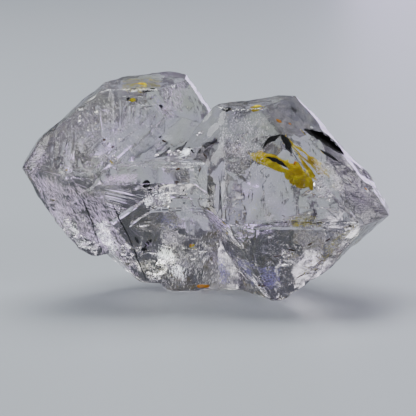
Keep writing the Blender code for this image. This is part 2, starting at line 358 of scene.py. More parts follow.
# %% Chips and nicks
CHIPS = (
    (UPPER_LEFT, (SIDE, 30, PRISM), (SIDE, 90, PRISM), -4.6, 0.55),
    (UPPER_LEFT, (SIDE, 30, PRISM), (LEFT, 90, RHOMB), -8.0, 0.5),
    (UPPER_LEFT, (SIDE, 30, PRISM), (SIDE, -30, PRISM), -8.9, 0.45),
    (UPPER_LEFT, (RIGHT, 62, 44.0), (SIDE, 90, PRISM), -2.2, 0.45),
    (UPPER_LEFT, (LEFT, 30, RHOMB), (LEFT, -30, RHOMB), -11.2, 0.35),
    (UPPER_LEFT, (LEFT, -90, RHOMB), (SIDE, -30, PRISM), -8.6, 0.6),
    (LEFT_LEDGE, (LEFT, -90, RHOMB), (SIDE, -30, PRISM), -4.7, 0.5),
    (LOWER_MIDDLE, (LEFT, -65, BEVEL), (SIDE, -30, PRISM), -4.4, 0.4),
    (LOWER_MIDDLE, (SIDE, -90, PRISM), (SIDE, -30, PRISM), 1.2, 0.5),
    (RIGHT_CRYSTAL, (SIDE, 90, PRISM), (SIDE, 30, PRISM), 1.7, 0.4),
    (RIGHT_CRYSTAL, (RIGHT, -90, RHOMB), (SIDE, -30, PRISM), 5.6, 0.6),
    (RIGHT_CRYSTAL, (RIGHT, -90, RHOMB), (SIDE, -30, PRISM), 6.7, 0.45),
    (RIGHT_CRYSTAL, (RIGHT, -60, BEVEL), (SIDE, -30, PRISM), 8.9, 0.4),
    (RIGHT_CRYSTAL, (RIGHT, 82, 41.0), (RIGHT, 150, 43.0), 9.1, 0.4),
    (RIGHT_CRYSTAL, (RIGHT, 68, 50.0), (RIGHT, 82, 41.0), 10.4, 0.35),
)
NICKED = (
    (LOWER_MIDDLE, (SIDE, 90, PRISM), (SIDE, 30, PRISM), (-7.0, -0.4), 13),
    (LEFT_LEDGE, (SIDE, 90, PRISM), (SIDE, 30, PRISM), (-10.5, -7.5), 4),
    (RIGHT_CRYSTAL, (SIDE, 30, PRISM), (SIDE, -30, PRISM), (2.6, 9.4), 12),
    (RIGHT_CRYSTAL, (SIDE, 90, PRISM), (SIDE, 30, PRISM), (0.8, 4.4), 5),
    (UPPER_LEFT, (SIDE, 90, PRISM), (SIDE, 30, PRISM), (-7.2, -3.4), 6),
)
CHIP_OFFSET_SHARES = (0.45, 0.7)
NICK_RADII = (0.12, 0.34)
NICK_OFFSET_SHARES = (0.3, 0.7)
CHIP_TURN = 6.0


def meeting(block, first, second, along):
    """The point at this X where two faces of a block meet, in mm."""
    centre = Vector(block["centre"])
    planes = [(facing(*face), block["faces"][face]) for face in (first, second)]
    planes.append((Vector((1, 0, 0)), along - centre.x))
    directions = Matrix([normal for normal, distance in planes])
    return centre + directions.inverted() @ Vector([distance for normal, distance in planes])


def two_turns():
    """Two random angles, to turn a chip by."""
    return relief.uniform(0, CHIP_TURN), relief.uniform(0, CHIP_TURN)


def scoop(name, block, first, second, along, radius, offset, turns):
    """Adds a ball, to be cut out where two faces meet. offset is how far out it sits, in radii."""
    solid = bmesh.new()
    bmesh.ops.create_icosphere(solid, subdivisions=2, radius=radius)
    outward = (facing(*first) + facing(*second)).normalized()
    centre = meeting(block, first, second, along) + outward * radius * offset
    turned = Matrix.Rotation(turns[0], 4, "Z") @ Matrix.Rotation(turns[1], 4, "X")
    solid.transform(Matrix.Translation(centre) @ turned)
    layer(name, solid, chips)


chips = bpy.data.collections.new("chips")
bpy.context.scene.collection.children.link(chips)
for number, (block, first, second, along, radius) in enumerate(CHIPS):
    offset = relief.uniform(*CHIP_OFFSET_SHARES)
    scoop(f"chip_{number}", block, first, second, along, radius, offset, two_turns())
for row, (block, first, second, (start, stop), count) in enumerate(NICKED):
    for number in range(count):
        along = relief.uniform(start, stop)
        turns = two_turns()
        radius = relief.uniform(*NICK_RADII)
        offset = relief.uniform(*NICK_OFFSET_SHARES)
        scoop(f"nick_{row}_{number}", block, first, second, along, radius, offset, turns)
boolean(quartz, "DIFFERENCE", chips)
print("quartz faces after chipping:", len(quartz.data.polygons))

# %% [markdown]
# A grown face is flat only from afar. Close up it has low hillocks, fine lines across the axis on
# the prism faces, and patches that were etched dull. So each flat face is cut into small
# triangles by a constrained Delaunay triangulation, and every point is lifted by a little noise.
# Neighbouring faces share the points of their common edge, so the stone stays closed.

# %% Points on the edges and the faces
STEP = 0.18
LEAST_EDGE = 0.004
RIM_CLEAR = 0.3
NEAR = 2 * STEP
wobble = random.Random(11)


def split_edges(solid):
    """Cuts each long edge in equal steps, so that the faces on both sides of it share the points."""
    bmesh.ops.remove_doubles(solid, verts=solid.verts[:], dist=LEAST_EDGE * MM)
    bmesh.ops.triangulate(solid, faces=solid.faces[:])
    by_cuts = {}
    for edge in solid.edges:
        cuts = int(edge.calc_length() / MM / STEP)
        if cuts:
            by_cuts.setdefault(cuts, []).append(edge)
    for cuts, edges in by_cuts.items():
        bmesh.ops.subdivide_edges(solid, edges=edges, cuts=cuts)


def clear_of(spot, y, sides):
    """Whether a spot in the row at height y keeps RIM_CLEAR steps from the sides that pass near it."""
    for p, q in sides:
        if min(abs(p.y - y), abs(q.y - y)) >= NEAR or min((p - spot).length, (q - spot).length) > NEAR:
            continue
        foot = geometry.intersect_point_line(spot, p, q)[0].to_2d()
        if (foot - spot).length <= STEP * RIM_CLEAR:
            return False
    return True


def points_within(rim):
    """Points about STEP apart inside a flat outline, clear of its rim."""
    sides = list(zip(rim, rim[1:] + rim[:1]))
    low = min(p.y for p in rim)
    rows = int((max(p.y for p in rim) - low) / STEP)
    found = []
    for row in range(rows + 1):
        y = low + (row + 0.5) * STEP
        crossed = [(p, q) for p, q in sides if (p.y > y) != (q.y > y)]
        crossings = sorted(p.x + (y - p.y) / (q.y - p.y) * (q.x - p.x) for p, q in crossed)
        for start, stop in zip(crossings[::2], crossings[1::2]):
            x = start + STEP * wobble.uniform(0.4, 0.9)
            while x < stop - STEP * 0.4:
                spot = Vector((x, y + STEP * wobble.uniform(-0.2, 0.2)))
                x += STEP * wobble.uniform(0.85, 1.15)
                if clear_of(spot, y, sides):
                    found.append(spot)
    return found


def outline_of(triangles):
    """The edges that only one of the triangles has."""
    uses = {}
    for corners in triangles:
        for side in zip(corners, corners[1:] + corners[:1]):
            uses[frozenset(side)] = uses.get(frozenset(side), 0) + 1
    return {side for side, times in uses.items() if times == 1}


def refined(solid):
    """Every face of a solid as small triangles: the points in metres and the triangles.

    A face whose triangles would miss a part of its own outline is kept whole instead.
    """
    solid.verts.index_update()
    places = [vert.co.copy() for vert in solid.verts]
    triangles = []
    kept = 0
    for face in solid.faces:
        rim = [vert.index for vert in face.verts]
        across = face.normal.orthogonal().normalized()
        up = face.normal.cross(across)
        centre = face.calc_center_median()
        offsets = [places[i] - centre for i in rim]
        flat = [Vector((offset.dot(across), offset.dot(up))) / MM for offset in offsets]
        extra = points_within(flat)
        count = len(rim)
        ring = [(i, (i + 1) % count) for i in range(count)]
        points, edges, made, origins, *rest = geometry.delaunay_2d_cdt(
            flat + extra, ring, [list(range(count))], 1, 1e-6)
        names = []
        for spot, source in zip(points, origins):
            first = min(source, default=count)
            names.append(rim[first] if first < count else len(places))
            if first >= count:
                places.append(centre + (across * spot.x + up * spot.y) * MM)
        found = [tuple(names[i] for i in corners) for corners in made]
        if outline_of(found) != {frozenset((rim[i], rim[after])) for i, after in ring}:
            found = [tuple(rim)]
            kept += 1
        else:
            a, b, c = (places[i] for i in found[0])
            if (b - a).cross(c - a).dot(face.normal) < 0:
                found = [corners[::-1] for corners in found]
        triangles += found
    print("faces kept whole:", kept, "of", len(solid.faces))
    return places, triangles


skin = bmesh.new()
skin.from_mesh(quartz.data)
split_edges(skin)
places, triangles = refined(skin)
skin.free()
fine = bpy.data.meshes.new("quartz_fine")
fine.from_pydata(places, [], triangles)
fine.validate()
quartz.data = fine
print("points:", len(places), "triangles:", len(triangles))

# %% [markdown]
# The height of the relief is a sum of smooth noises. Hillocks are about a millimetre wide, lumps
# less than half of that, and striations are noise stretched across the axis. The front of the
# left crystal and the lower front of the right one are etched, so they get deeper lumps. The
# share of etching, and of wear on the underside and the back, is kept as an attribute named worn,
# and the quartz finish reads it as roughness. The whole skin also wanders a little, edges and
# all, because no real edge is ruled, and the two tips lean out as they do in the photograph.

# %% Height of the relief
SWELL, SWELL_SIZE = 0.10, 2.6
HILLOCK, HILLOCK_SIZE = 0.055, 1.0
LUMP, LUMP_SIZE = 0.020, 0.42
STRIA, STRIA_PITCH, STRIA_LENGTH = 0.022, 0.6, 4.0
ETCH_DEPTH = 2.5
PRISM_NORMAL_X = 0.2
ETCHED = (
    (Vector((-6.6, -4.4, 9.8)), 4.6, 1.0),
    (Vector((-8.6, -3.6, 4.0)), 3.6, 0.8),
    (Vector((3.6, -5.6, 1.2)), 2.6, 0.7),
    (Vector((7.8, -4.6, 2.6)), 2.6, 0.7),
)
FADE_FROM = 2.4
FADE_BY = 2.0
CALM_EDGE = 0.45
EDGE_TURN = 0.3
UNDERSIDE_WORN = 0.7
REAR_WORN = 0.45
WANDERS = ((1.5, 0.075), (0.55, 0.03))
TIP_SHIFTS = (
    (6.0, 12.0, Vector((0.36, 0.0, 0.36))),
    (-6.0, -12.0, Vector((0.17, 0.0, 0.0))),
)
noise.seed_set(5)


def wander(place):
    """How far, in mm, a place strays from the ruled planes. It bends the edges as well as the faces."""
    strays = [noise.noise_vector(place / size + Vector((3.0, 8.0, 2.0))) * reach for size, reach in WANDERS]
    for start, stop, shift in TIP_SHIFTS:
        share = min(max((place.x - start) / (stop - start), 0.0), 1.0)
        strays.append(shift * share * share * (3.0 - 2.0 * share))
    return sum(strays, Vector())


def etching(place):
    """How etched the surface is at a place in mm, from 0 to 1."""
    shares = [0.0]
    for middle, reach, strength in ETCHED:
        shares.append(strength * min(FADE_FROM - FADE_BY * (place - middle).length / reach, 1.0))
    return max(shares)


def height(place, normal, worn, calm):
    """The relief in mm at a place on a face that looks along normal. calm lowers all but the swell."""
    swell = noise.noise(place / SWELL_SIZE + Vector((0.0, 5.0, 9.0))) * SWELL
    low = noise.noise(place / HILLOCK_SIZE) * HILLOCK * (1.0 + worn) * calm
    lumps = noise.noise(place / LUMP_SIZE + Vector((7.0, 3.0, 1.0))) * LUMP * (1.0 + ETCH_DEPTH * worn) * calm
    lines = 0.0
    if abs(normal.x) < PRISM_NORMAL_X:
        along = Vector((place.x / STRIA_PITCH, place.y / STRIA_LENGTH, place.z / STRIA_LENGTH))
        lines = (noise.noise(along) + 0.5 * noise.noise(along * 2.3)) * STRIA
    return swell + low + lumps + lines * calm


skin = bmesh.new()
skin.from_mesh(quartz.data)
# A chip that grazes an edge can leave a sliver hanging by two sides. It goes.
slivers = {edge.link_faces[0] for edge in skin.edges if len(edge.link_faces) == 1}
bmesh.ops.delete(skin, geom=list(slivers), context="FACES")
open_edges = sum(1 for edge in skin.edges if len(edge.link_faces) != 2 or not edge.is_contiguous)
worn_layer = skin.verts.layers.float.new("worn")
moved = []
for vert in skin.verts:
    place, normal = vert.co / MM, vert.normal
    worn = etching(place)
    underside = min(max(-normal.z * 2.0, 0.0), 1.0) * UNDERSIDE_WORN
    rear = min(max(normal.y * 1.5 - 0.3, 0.0), 1.0) * REAR_WORN
    vert[worn_layer] = max(worn, underside, rear)
    edge_turn = max((edge.calc_face_angle(0.0) for edge in vert.link_edges), default=0.0)
    calm = CALM_EDGE if edge_turn > EDGE_TURN else 1.0
    strayed = vert.co + (normal * height(place, normal, worn, calm) + wander(place)) * MM
    strayed.z = max(strayed.z, 0.0)
    moved.append(strayed)
for vert, place in zip(skin.verts, moved):
    vert.co = place
skin.to_mesh(quartz.data)
skin.free()
print("open edges:", open_edges)

# %% [markdown]
# The photograph shows each inclusion through a face that bends the view. To put one where it
# belongs, a ray leaves the camera through the photo's pixel, meets the quartz, is bent by
# Snell's law and is followed for the depth that the inclusion lies at.

# %% Looking into the stone
QUARTZ_IOR = 1.544
STONE_MIDDLE = (208, 185)
NUDGES = (0.0, 0.015, 0.03, 0.045, 0.06, 0.09)
outer = bmesh.new()
outer.from_mesh(quartz.data)
shell = BVHTree.FromBMesh(outer)
outer.free()


def bent(ray, normal, ratio):
    """A ray's way on after it enters a denser stuff, by Snell's law."""
    slope = -ray.dot(normal)
    steeper = math.sqrt(1.0 - (1.0 - slope * slope) / ratio ** 2)
    return (ray / ratio + normal * (slope / ratio - steeper)).normalized()


def look_in(u, v):
    """Where the view through a photo pixel meets the quartz, in metres, and its way inside.

    A pixel just off the stone is moved towards the stone's middle until its view meets it.
    """
    turn = camera.rotation_euler.to_matrix()
    for share in NUDGES:
        near_u = u + (STONE_MIDDLE[0] - u) * share
        near_v = v + (STONE_MIDDLE[1] - v) * share
        across = (near_u - PHOTO / 2) / (PIXELS_PER_MM * DISTANCE)
        upward = (PHOTO / 2 - near_v) / (PIXELS_PER_MM * DISTANCE)
        ray = (turn @ Vector((across, upward, -1.0))).normalized()
        hit, normal, face, gone = shell.ray_cast(camera.location, ray)
        if hit:
            break
    return hit, bent(ray, normal, QUARTZ_IOR)


def inside(u, v, depth):
    """The place that shows at a photo pixel, this many mm along the view inside the stone."""
    hit, way = look_in(u, v)
    return hit + way * depth * MM


for u, v in ((282, 170), (325, 141), (160, 250)):
    print((u, v), "looks in towards", tuple(round(x, 2) for x in look_in(u, v)[1]))

# %% [markdown]
# Feathers are cracks inside the crystal. Each is a thin gap of air, so the light in the quartz
# turns back at it as at a mirror, and it shines silver. A feather is an almost flat lens with
# a ragged rim and shell-like ripples. Its walls face into the gap, because they bound the quartz,
# and it joins the quartz mesh: one clear body with hollows. It is tilted to send the view
# towards the overhead lamp, give or take a few degrees, as cracks that sparkle do. The list named
# SILVER has the large ones one by one, and SPARKS has clusters of small ones: a middle and a
# spread in photo pixels, how many, and their length and width in mm.

# %% Feathers
SKYWARD = Vector((0.0, 0.3, 0.954)).normalized()
WALL = 0.06
LARGE_RIM, LARGE_RINGS = 18, (0.25, 0.45, 0.62, 0.76, 0.88, 0.96)
SMALL_RIM, SMALL_RINGS = 12, (0.5, 0.85)
RAG_SHARES = (0.72, 1.08)
WAVES = (2.0, 4.5)
DISHING = 0.12
GAP = 0.035
RIPPLE = 0.03
hollows = bmesh.new()
cracks = random.Random(31)


def feather(place, normal, long, short, spin, rings=LARGE_RINGS, rim_count=LARGE_RIM):
    """Adds a lens-shaped gap of air. Sizes in mm. rings are the shares of its radius that have points."""
    turn = normal.to_track_quat("Z", "Y").to_matrix() @ Matrix.Rotation(spin, 3, "Z")
    phase = cracks.uniform(0, 6)
    rags = [cracks.uniform(*RAG_SHARES) for step in range(rim_count)]
    waves = cracks.uniform(*WAVES)

    def at(share, step, side):
        """A point of one wall, at a share of the way from the middle to the rim."""
        angle = 2 * math.pi * step / rim_count
        reach = share * (rags[step % rim_count] * 0.5 + rags[(step + 1) % rim_count] * 0.5)
        x, y = long * reach * math.cos(angle), short * reach * math.sin(angle)
        rippled = RIPPLE * math.sin(waves * 6 * share + phase) * share
        dished = DISHING * (x * x + y * y) / (long + short)
        z = rippled + dished + side * GAP * (1 - share * share) / 2
        return hollows.verts.new(place + turn @ Vector((x, y, z)) * MM)

    rim = [at(1.0, step, 0) for step in range(rim_count)]
    for side in (1, -1):
        circles = [[at(share, step, side) for step in range(rim_count)] for share in rings] + [rim]
        centre = at(0.0, 0, side)
        for step in range(rim_count):
            after = (step + 1) % rim_count
            corners = [(centre, circles[0][step], circles[0][after])]
            for low, high in zip(circles, circles[1:]):
                corners.append((low[step], high[step], high[after], low[after]))
            for ring in corners:
                hollows.faces.new(ring[::-1] if side == 1 else ring)


DEEPER = (0.0, 0.2, 0.4, 0.6, 0.8)


def silver(u, v, depth, long, short, spin, jitter=0.12, **shape):
    """A feather that mirrors the overhead lamp, placed by the photo pixel that it shows at."""
    hit, way = look_in(u, v)
    normal = (SKYWARD - way).normalized()
    normal = (normal + Vector([cracks.uniform(-jitter, jitter) for axis in "xyz"])).normalized()
    for deeper in DEEPER:
        place = hit + way * (depth + deeper) * MM
        near, face_normal, face, gap = shell.find_nearest(place)
        if gap > (WALL + max(short, long * 0.6)) * MM and (place - near).dot(face_normal) < 0:
            feather(place, normal, long, short, spin, **shape)
            return


SILVER = (
    (157, 200, 0.5, 0.85, 0.5, 0.2),
    (150, 196, 0.6, 0.5, 0.3, 0.9),
    (164, 205, 0.7, 0.55, 0.35, 2.0),
    (155, 207, 0.8, 0.5, 0.3, 1.2),
    (105, 232, 0.5, 0.55, 0.35, 1.2),
    (108, 243, 0.5, 0.6, 0.35, 1.5),
    (101, 228, 0.6, 0.35, 0.22, 0.4),
    (152, 276, 0.5, 0.5, 0.45, 0.3),
    (156, 282, 0.5, 0.3, 0.2, 0.8),
    (166, 262, 0.9, 1.0, 0.5, 0.9),
    (174, 268, 1.2, 0.8, 0.35, 1.9),
    (163, 270, 1.0, 0.8, 0.25, 1.2),
    (144, 226, 0.5, 0.35, 0.2, 0.3),
    (157, 155, 0.5, 0.35, 0.2, 1.0),
    (176, 153, 0.6, 0.9, 0.22, 0.15),
    (200, 133, 0.5, 0.3, 0.2, 0.6),
    (209, 197, 0.5, 0.3, 0.15, 0.6),
    (270, 237, 0.5, 0.3, 0.16, 0.6),
    (318, 227, 0.5, 0.3, 0.14, 2.6),
    (325, 166, 0.8, 0.6, 0.35, 0.8),
    (338, 186, 0.6, 0.7, 0.4, 0.3),
    (318, 186, 0.8, 0.6, 0.25, 2.0),
    (306, 194, 0.9, 0.5, 0.2, 1.0),
    (299, 146, 0.6, 0.35, 0.16, 0.2),
    (288, 224, 1.0, 1.2, 0.18, 0.05),
    (300, 216, 0.9, 1.0, 0.25, 0.3),
    (330, 208, 0.8, 0.8, 0.2, 2.8),
    (285, 265, 0.7, 0.5, 0.25, 0.4),
    (113, 180, 0.4, 0.45, 0.2, 0.2),
    (128, 179, 0.4, 0.7, 0.22, 0.1),
    (120, 140, 0.6, 0.3, 0.14, 1.2),
    (90, 150, 0.5, 0.25, 0.1, 1.5),
    (96, 112, 0.4, 0.3, 0.1, 1.3),
    (88, 101, 0.3, 0.3, 0.1, 1.0),
    (162, 78, 0.3, 0.2, 0.1, 0.4),
    (78, 236, 0.4, 0.5, 0.3, 1.1),
    (86, 244, 0.4, 0.4, 0.25, 0.6),
)
for u, v, depth, long, short, spin in SILVER:
    silver(u, v, depth, long, short, spin)

SPARK_DEPTHS = (0.15, 0.7)
SPARK_LENGTHS = (0.5, 1.5)
SPARK_WIDTHS = (0.5, 1.6)
SPARK_JITTER = 0.28
SPARKS = (
    ((157, 200), (11, 8), 44, 0.22, 0.15),
    ((106, 237), (5, 11), 20, 0.24, 0.14),
    ((153, 277), (5, 6), 14, 0.24, 0.18),
    ((168, 264), (13, 11), 30, 0.30, 0.09),
    ((176, 152), (11, 3), 14, 0.20, 0.08),
    ((338, 186), (7, 9), 20, 0.22, 0.12),
    ((320, 197), (12, 4), 16, 0.22, 0.09),
    ((331, 168), (5, 8), 8, 0.26, 0.14),
    ((300, 217), (30, 7), 26, 0.20, 0.06),
    ((295, 250), (26, 16), 34, 0.15, 0.06),
    ((240, 152), (10, 18), 20, 0.24, 0.07),
    ((233, 210), (5, 20), 14, 0.26, 0.07),
    ((90, 130), (26, 22), 44, 0.17, 0.06),
    ((60, 176), (22, 8), 20, 0.16, 0.06),
    ((128, 250), (9, 16), 18, 0.22, 0.08),
    ((70, 222), (16, 18), 18, 0.18, 0.06),
    ((200, 250), (16, 18), 20, 0.22, 0.08),
    ((180, 106), (16, 16), 14, 0.20, 0.07),
    ((124, 166), (30, 8), 20, 0.20, 0.07),
    ((140, 84), (18, 5), 10, 0.16, 0.06),
)
for (u, v), (wide, high), many, long, short in SPARKS:
    for number in range(many):
        spot = (u + cracks.gauss(0, wide / 2), v + cracks.gauss(0, high / 2))
        depth = cracks.uniform(*SPARK_DEPTHS)
        length = long * cracks.uniform(*SPARK_LENGTHS)
        width = short * cracks.uniform(*SPARK_WIDTHS)
        spin = cracks.uniform(0, math.pi)
        silver(*spot, depth, length, width, spin, SPARK_JITTER, rings=SMALL_RINGS, rim_count=SMALL_RIM)
print("feather faces:", len(hollows.faces))

# %% [markdown]
# Healed cracks hold sheets of tiny fluid bubbles, which look like a whitish veil or like silk. A
# Geometry Nodes tree scatters flat specks over a sheet, in patches that a noise chooses, and
# turns them along one direction. The seed is fixed, and each sheet hangs from four points inside
# the stone. One small function adds a node, with its settings and its links, and serves for the
# finishes too.

# %% Nodes
def node(tree, kind, links=(), **settings):
    """Adds one node. links are (input, from node, output), and settings are properties or inputs."""
    made = tree.nodes.new(kind)
    for name, value in settings.items():
        if hasattr(made, name):
            setattr(made, name, value)
    for name, value in settings.items():
        if not hasattr(made, name):
            label = int(name[1:]) if name[1:].isdigit() else name.replace("_", " ")
            made.inputs[label].default_value = value
    for socket, source, output in links:
        tree.links.new(source.outputs[output], made.inputs[socket])
    return made


# %% [markdown]
# The tree has named inputs for the density, size, spread and direction of the specks. It scatters
# points over the sheet, moves each one a little off it, puts a small eight-sided ball there and
# makes the balls real, so that each can be looked at by itself afterwards.

# %% The veil tree
PATCHES_PER_MM = 1.1
SOCKETS = (
    ("Specks per square metre", "NodeSocketFloat"),
    ("Speck size", "NodeSocketFloat"),
    ("Spread", "NodeSocketFloat"),
    ("Stretch", "NodeSocketVector"),
    ("Along", "NodeSocketVector"),
    ("Patchiness", "NodeSocketFloat"),
    ("Seed", "NodeSocketInt"),
    ("Material", "NodeSocketMaterial"),
)
veil_tree = bpy.data.node_groups.new("veil_of_specks", "GeometryNodeTree")
veil_tree.interface.new_socket("Geometry", in_out="INPUT", socket_type="NodeSocketGeometry")
for name, kind in SOCKETS:
    veil_tree.interface.new_socket(name, in_out="INPUT", socket_type=kind)
veil_tree.interface.new_socket("Geometry", in_out="OUTPUT", socket_type="NodeSocketGeometry")
given = node(veil_tree, "NodeGroupInput")
patches = node(veil_tree, "ShaderNodeTexNoise", Scale=PATCHES_PER_MM / MM, Detail=3.0)
chosen = node(veil_tree, "ShaderNodeMapRange",
              [("Value", patches, "Fac"), ("From Min", given, "Patchiness")], From_Max=0.68)
density = node(veil_tree, "ShaderNodeMath",
               [(0, chosen, "Result"), (1, given, "Specks per square metre")], operation="MULTIPLY")
scatter = node(veil_tree, "GeometryNodeDistributePointsOnFaces",
               [("Mesh", given, "Geometry"), ("Density", density, "Value"), ("Seed", given, "Seed")])
shift = node(veil_tree, "FunctionNodeRandomValue", [("Seed", given, "Seed")], data_type="FLOAT_VECTOR",
             _0=(-1, -1, -1), _1=(1, 1, 1))
apart = node(veil_tree, "ShaderNodeVectorMath",
             [(0, shift, 0), ("Scale", given, "Spread")], operation="SCALE")
moved = node(veil_tree, "GeometryNodeSetPosition",
             [("Geometry", scatter, "Points"), ("Offset", apart, "Vector")])
speck = node(veil_tree, "GeometryNodeMeshUVSphere", Radius=1.0, Segments=4, Rings=2)
long_speck = node(veil_tree, "GeometryNodeTransform",
                  [("Geometry", speck, "Mesh"), ("Scale", given, "Stretch")])
astray = node(veil_tree, "FunctionNodeRandomValue", [("Seed", given, "Seed")], data_type="FLOAT_VECTOR",
              _0=(-0.35, -0.35, -0.35), _1=(0.35, 0.35, 0.35))
way = node(veil_tree, "ShaderNodeVectorMath", [(0, astray, 0), (1, given, "Along")], operation="ADD")
turn = node(veil_tree, "FunctionNodeAlignRotationToVector", [("Vector", way, "Vector")], axis="X")
size = node(veil_tree, "FunctionNodeRandomValue",
            [("Seed", given, "Seed")], data_type="FLOAT", _2=0.35, _3=1.4)
real = node(veil_tree, "ShaderNodeMath",
            [(0, size, 1), (1, given, "Speck size")], operation="MULTIPLY")
placed = node(veil_tree, "GeometryNodeInstanceOnPoints",
              [("Points", moved, "Geometry"), ("Instance", long_speck, "Geometry"),
               ("Rotation", turn, "Rotation"), ("Scale", real, "Value")])
solid = node(veil_tree, "GeometryNodeRealizeInstances", [("Geometry", placed, "Instances")])
coloured = node(veil_tree, "GeometryNodeSetMaterial",
                [("Geometry", solid, "Geometry"), ("Material", given, "Material")])
node(veil_tree, "NodeGroupOutput", [("Geometry", coloured, "Geometry")])
print("nodes in the veil tree:", len(veil_tree.nodes))

# %% [markdown]
# A veil hangs from four corners, each a photo pixel and a depth. A speck whose middle lies outside
# the stone, or too close under its surface, is dropped. The first few veils are bubbles, so they
# are turned inside out and join the quartz as hollows.

# %% Veils
GRID = 10
BOW = 0.3
FLAKE = (1.0, 0.8, 0.35)
SILK = (4.0, 0.5, 0.3)
THREAD = (1.8, 0.6, 0.4)


def sheet_points(corners):
    """A grid of points hung from four corners, each a photo pixel and a depth in mm."""
    a, b, c, d = (inside(*corner) for corner in corners)
    points = []
    for row in range(GRID + 1):
        for column in range(GRID + 1):
            s, r = column / GRID, row / GRID
            swell = math.sin(math.pi * s) * math.sin(math.pi * r)
            points.append(a.lerp(b, s).lerp(d.lerp(c, s), r) + Vector((0, 1, 0)) * swell * BOW * MM)
    return points


def veil(corners, per_mm2, size_mm, spread_mm, seed, stretch, along, patchiness, finish=None):
    """The mesh of the specks scattered over one sheet."""
    sheet = bpy.data.meshes.new("sheet")
    wide = GRID + 1
    quads = [(r * wide + s, r * wide + s + 1, (r + 1) * wide + s + 1, (r + 1) * wide + s)
             for r in range(GRID) for s in range(GRID)]
    sheet.from_pydata(sheet_points(corners), [], quads)
    made = bpy.data.objects.new("sheet", sheet)
    bpy.context.scene.collection.objects.link(made)
    modifier = made.modifiers.new("veil", "NODES")
    modifier.node_group = veil_tree
    inputs = {item.name: item.identifier for item in veil_tree.interface.items_tree if item.in_out == "INPUT"}
    values = (per_mm2 / MM ** 2, size_mm * MM, spread_mm * MM, stretch, along, patchiness, seed, finish)
    for (label, kind), value in zip(SOCKETS, values):
        modifier[inputs[label]] = value
    graph = bpy.context.evaluated_depsgraph_get()
    result = bpy.data.meshes.new_from_object(made.evaluated_get(graph))
    bpy.data.objects.remove(made, do_unlink=True)
    bpy.data.meshes.remove(sheet)
    return result


def well_inside(mesh, least):
    """Each separate speck of a mesh whose middle is at least this far, in mm, under the surface."""
    scattered = bmesh.new()
    scattered.from_mesh(mesh)
    seen = set()
    groups = []
    for start in scattered.verts:
        if start in seen:
            continue
        group, todo = [], [start]
        seen.add(start)
        while todo:
            vert = todo.pop()
            group.append(vert)
            for edge in vert.link_edges:
                other = edge.other_vert(vert)
                if other not in seen:
                    seen.add(other)
                    todo.append(other)
        centre = sum((vert.co for vert in group), Vector()) / len(group)
        near, normal, face, gap = shell.find_nearest(centre)
        if gap > least * MM and (centre - near).dot(normal) < 0:
            faces = dict.fromkeys(face for vert in group for face in vert.link_faces)
            groups.append((group, faces))
    return scattered, groups


def copy_specks(mesh, target, least, inward):
    """Adds the specks that lie well inside to a bmesh, turned inside out if they are hollows."""
    scattered, groups = well_inside(mesh, least)
    for group, faces in groups:
        copies = {vert: target.verts.new(vert.co) for vert in group}
        for polygon in faces:
            ring = [copies[vert] for vert in polygon.verts]
            target.faces.new(ring[::-1] if inward else ring)
    scattered.free()
    bpy.data.meshes.remove(mesh)
    return len(groups)


BUBBLE_SEED = 3
BUBBLE_PATCHINESS = 0.42
BUBBLE_DEPTH = 0.12
SHARP_OVER = math.radians(28.0)
BUBBLE_VEILS = (
    (((222, 124, 1.0), (262, 124, 1.6), (262, 172, 2.0), (226, 172, 1.0)), 16, 0.035, 0.25),
    (((300, 160, 1.0), (330, 168, 1.4), (345, 200, 1.2), (305, 195, 1.4)), 22, 0.04, 0.2),
    (((150, 236, 1.0), (185, 240, 1.6), (182, 280, 1.4), (156, 280, 0.8)), 18, 0.04, 0.3),
    (((262, 236, 1.2), (330, 228, 1.2), (300, 270, 0.9), (268, 280, 0.8)), 14, 0.035, 0.3),
    (((118, 206, 1.0), (150, 190, 1.2), (200, 230, 1.6), (150, 262, 1.0)), 10, 0.035, 0.4),
)
count = 0
for number, (corners, per_mm2, size_mm, spread_mm) in enumerate(BUBBLE_VEILS):
    seed = number + BUBBLE_SEED
    result = veil(corners, per_mm2, size_mm, spread_mm, seed, FLAKE, (0, 0, 0), BUBBLE_PATCHINESS)
    count += copy_specks(result, hollows, BUBBLE_DEPTH, True)
stone = bmesh.new()
stone.from_mesh(quartz.data)
carried = bpy.data.meshes.new("hollows")
hollows.to_mesh(carried)
hollows.free()
stone.from_mesh(carried)
stone.to_mesh(quartz.data)
quartz.data.shade_smooth()
quartz.data.set_sharp_from_angle(angle=SHARP_OVER)
print("bubbles:", count, "quartz triangles:", sum(len(face.verts) - 2 for face in stone.faces))
stone.free()
bpy.data.meshes.remove(carried)

# %% [markdown]
# Each colour is written as the sRGB code that an eye-dropper shows, and one function turns it to
# the linear values that the shader takes.

# %% Colours
def linear(code):
    """The linear colour that a shader takes, from an sRGB code."""
    values = [int(code[i:i + 2], 16) / 255 for i in (1, 3, 5)]
    return tuple(v / 12.92 if v <= 0.04045 else ((v + 0.055) / 1.055) ** 2.4 for v in values) + (1.0,)


def material(name):
    """A new finish and its empty node tree."""
    made = bpy.data.materials.new(name)
    made.use_nodes = True
    made.node_tree.nodes.clear()
    return made, made.node_tree


def ramp(tree, source, stops):
    """A colour ramp read by a noise's value. stops are (position, sRGB code)."""
    made = node(tree, "ShaderNodeValToRGB", [("Fac", source, "Fac")])
    steps = made.color_ramp.elements
    for number, (position, code) in enumerate(stops):
        step = steps[number] if number < 2 else steps.new(position)
        step.position = position
        step.color = linear(code)
    return made


print("mid grey #808080 is", round(linear("#808080")[0], 3), "in linear light")

# %% [markdown]
# Rock crystal is silica that grew from hot water. Its index is 1.544, and it takes almost no
# light, apart from a faint smoky tint. Fine lines across the axis and small etch pits are too
# small for the mesh, so a bump adds them. Roughness follows the worn attribute, broken up by a
# noise, and broad patches are tinted a little lavender or olive.

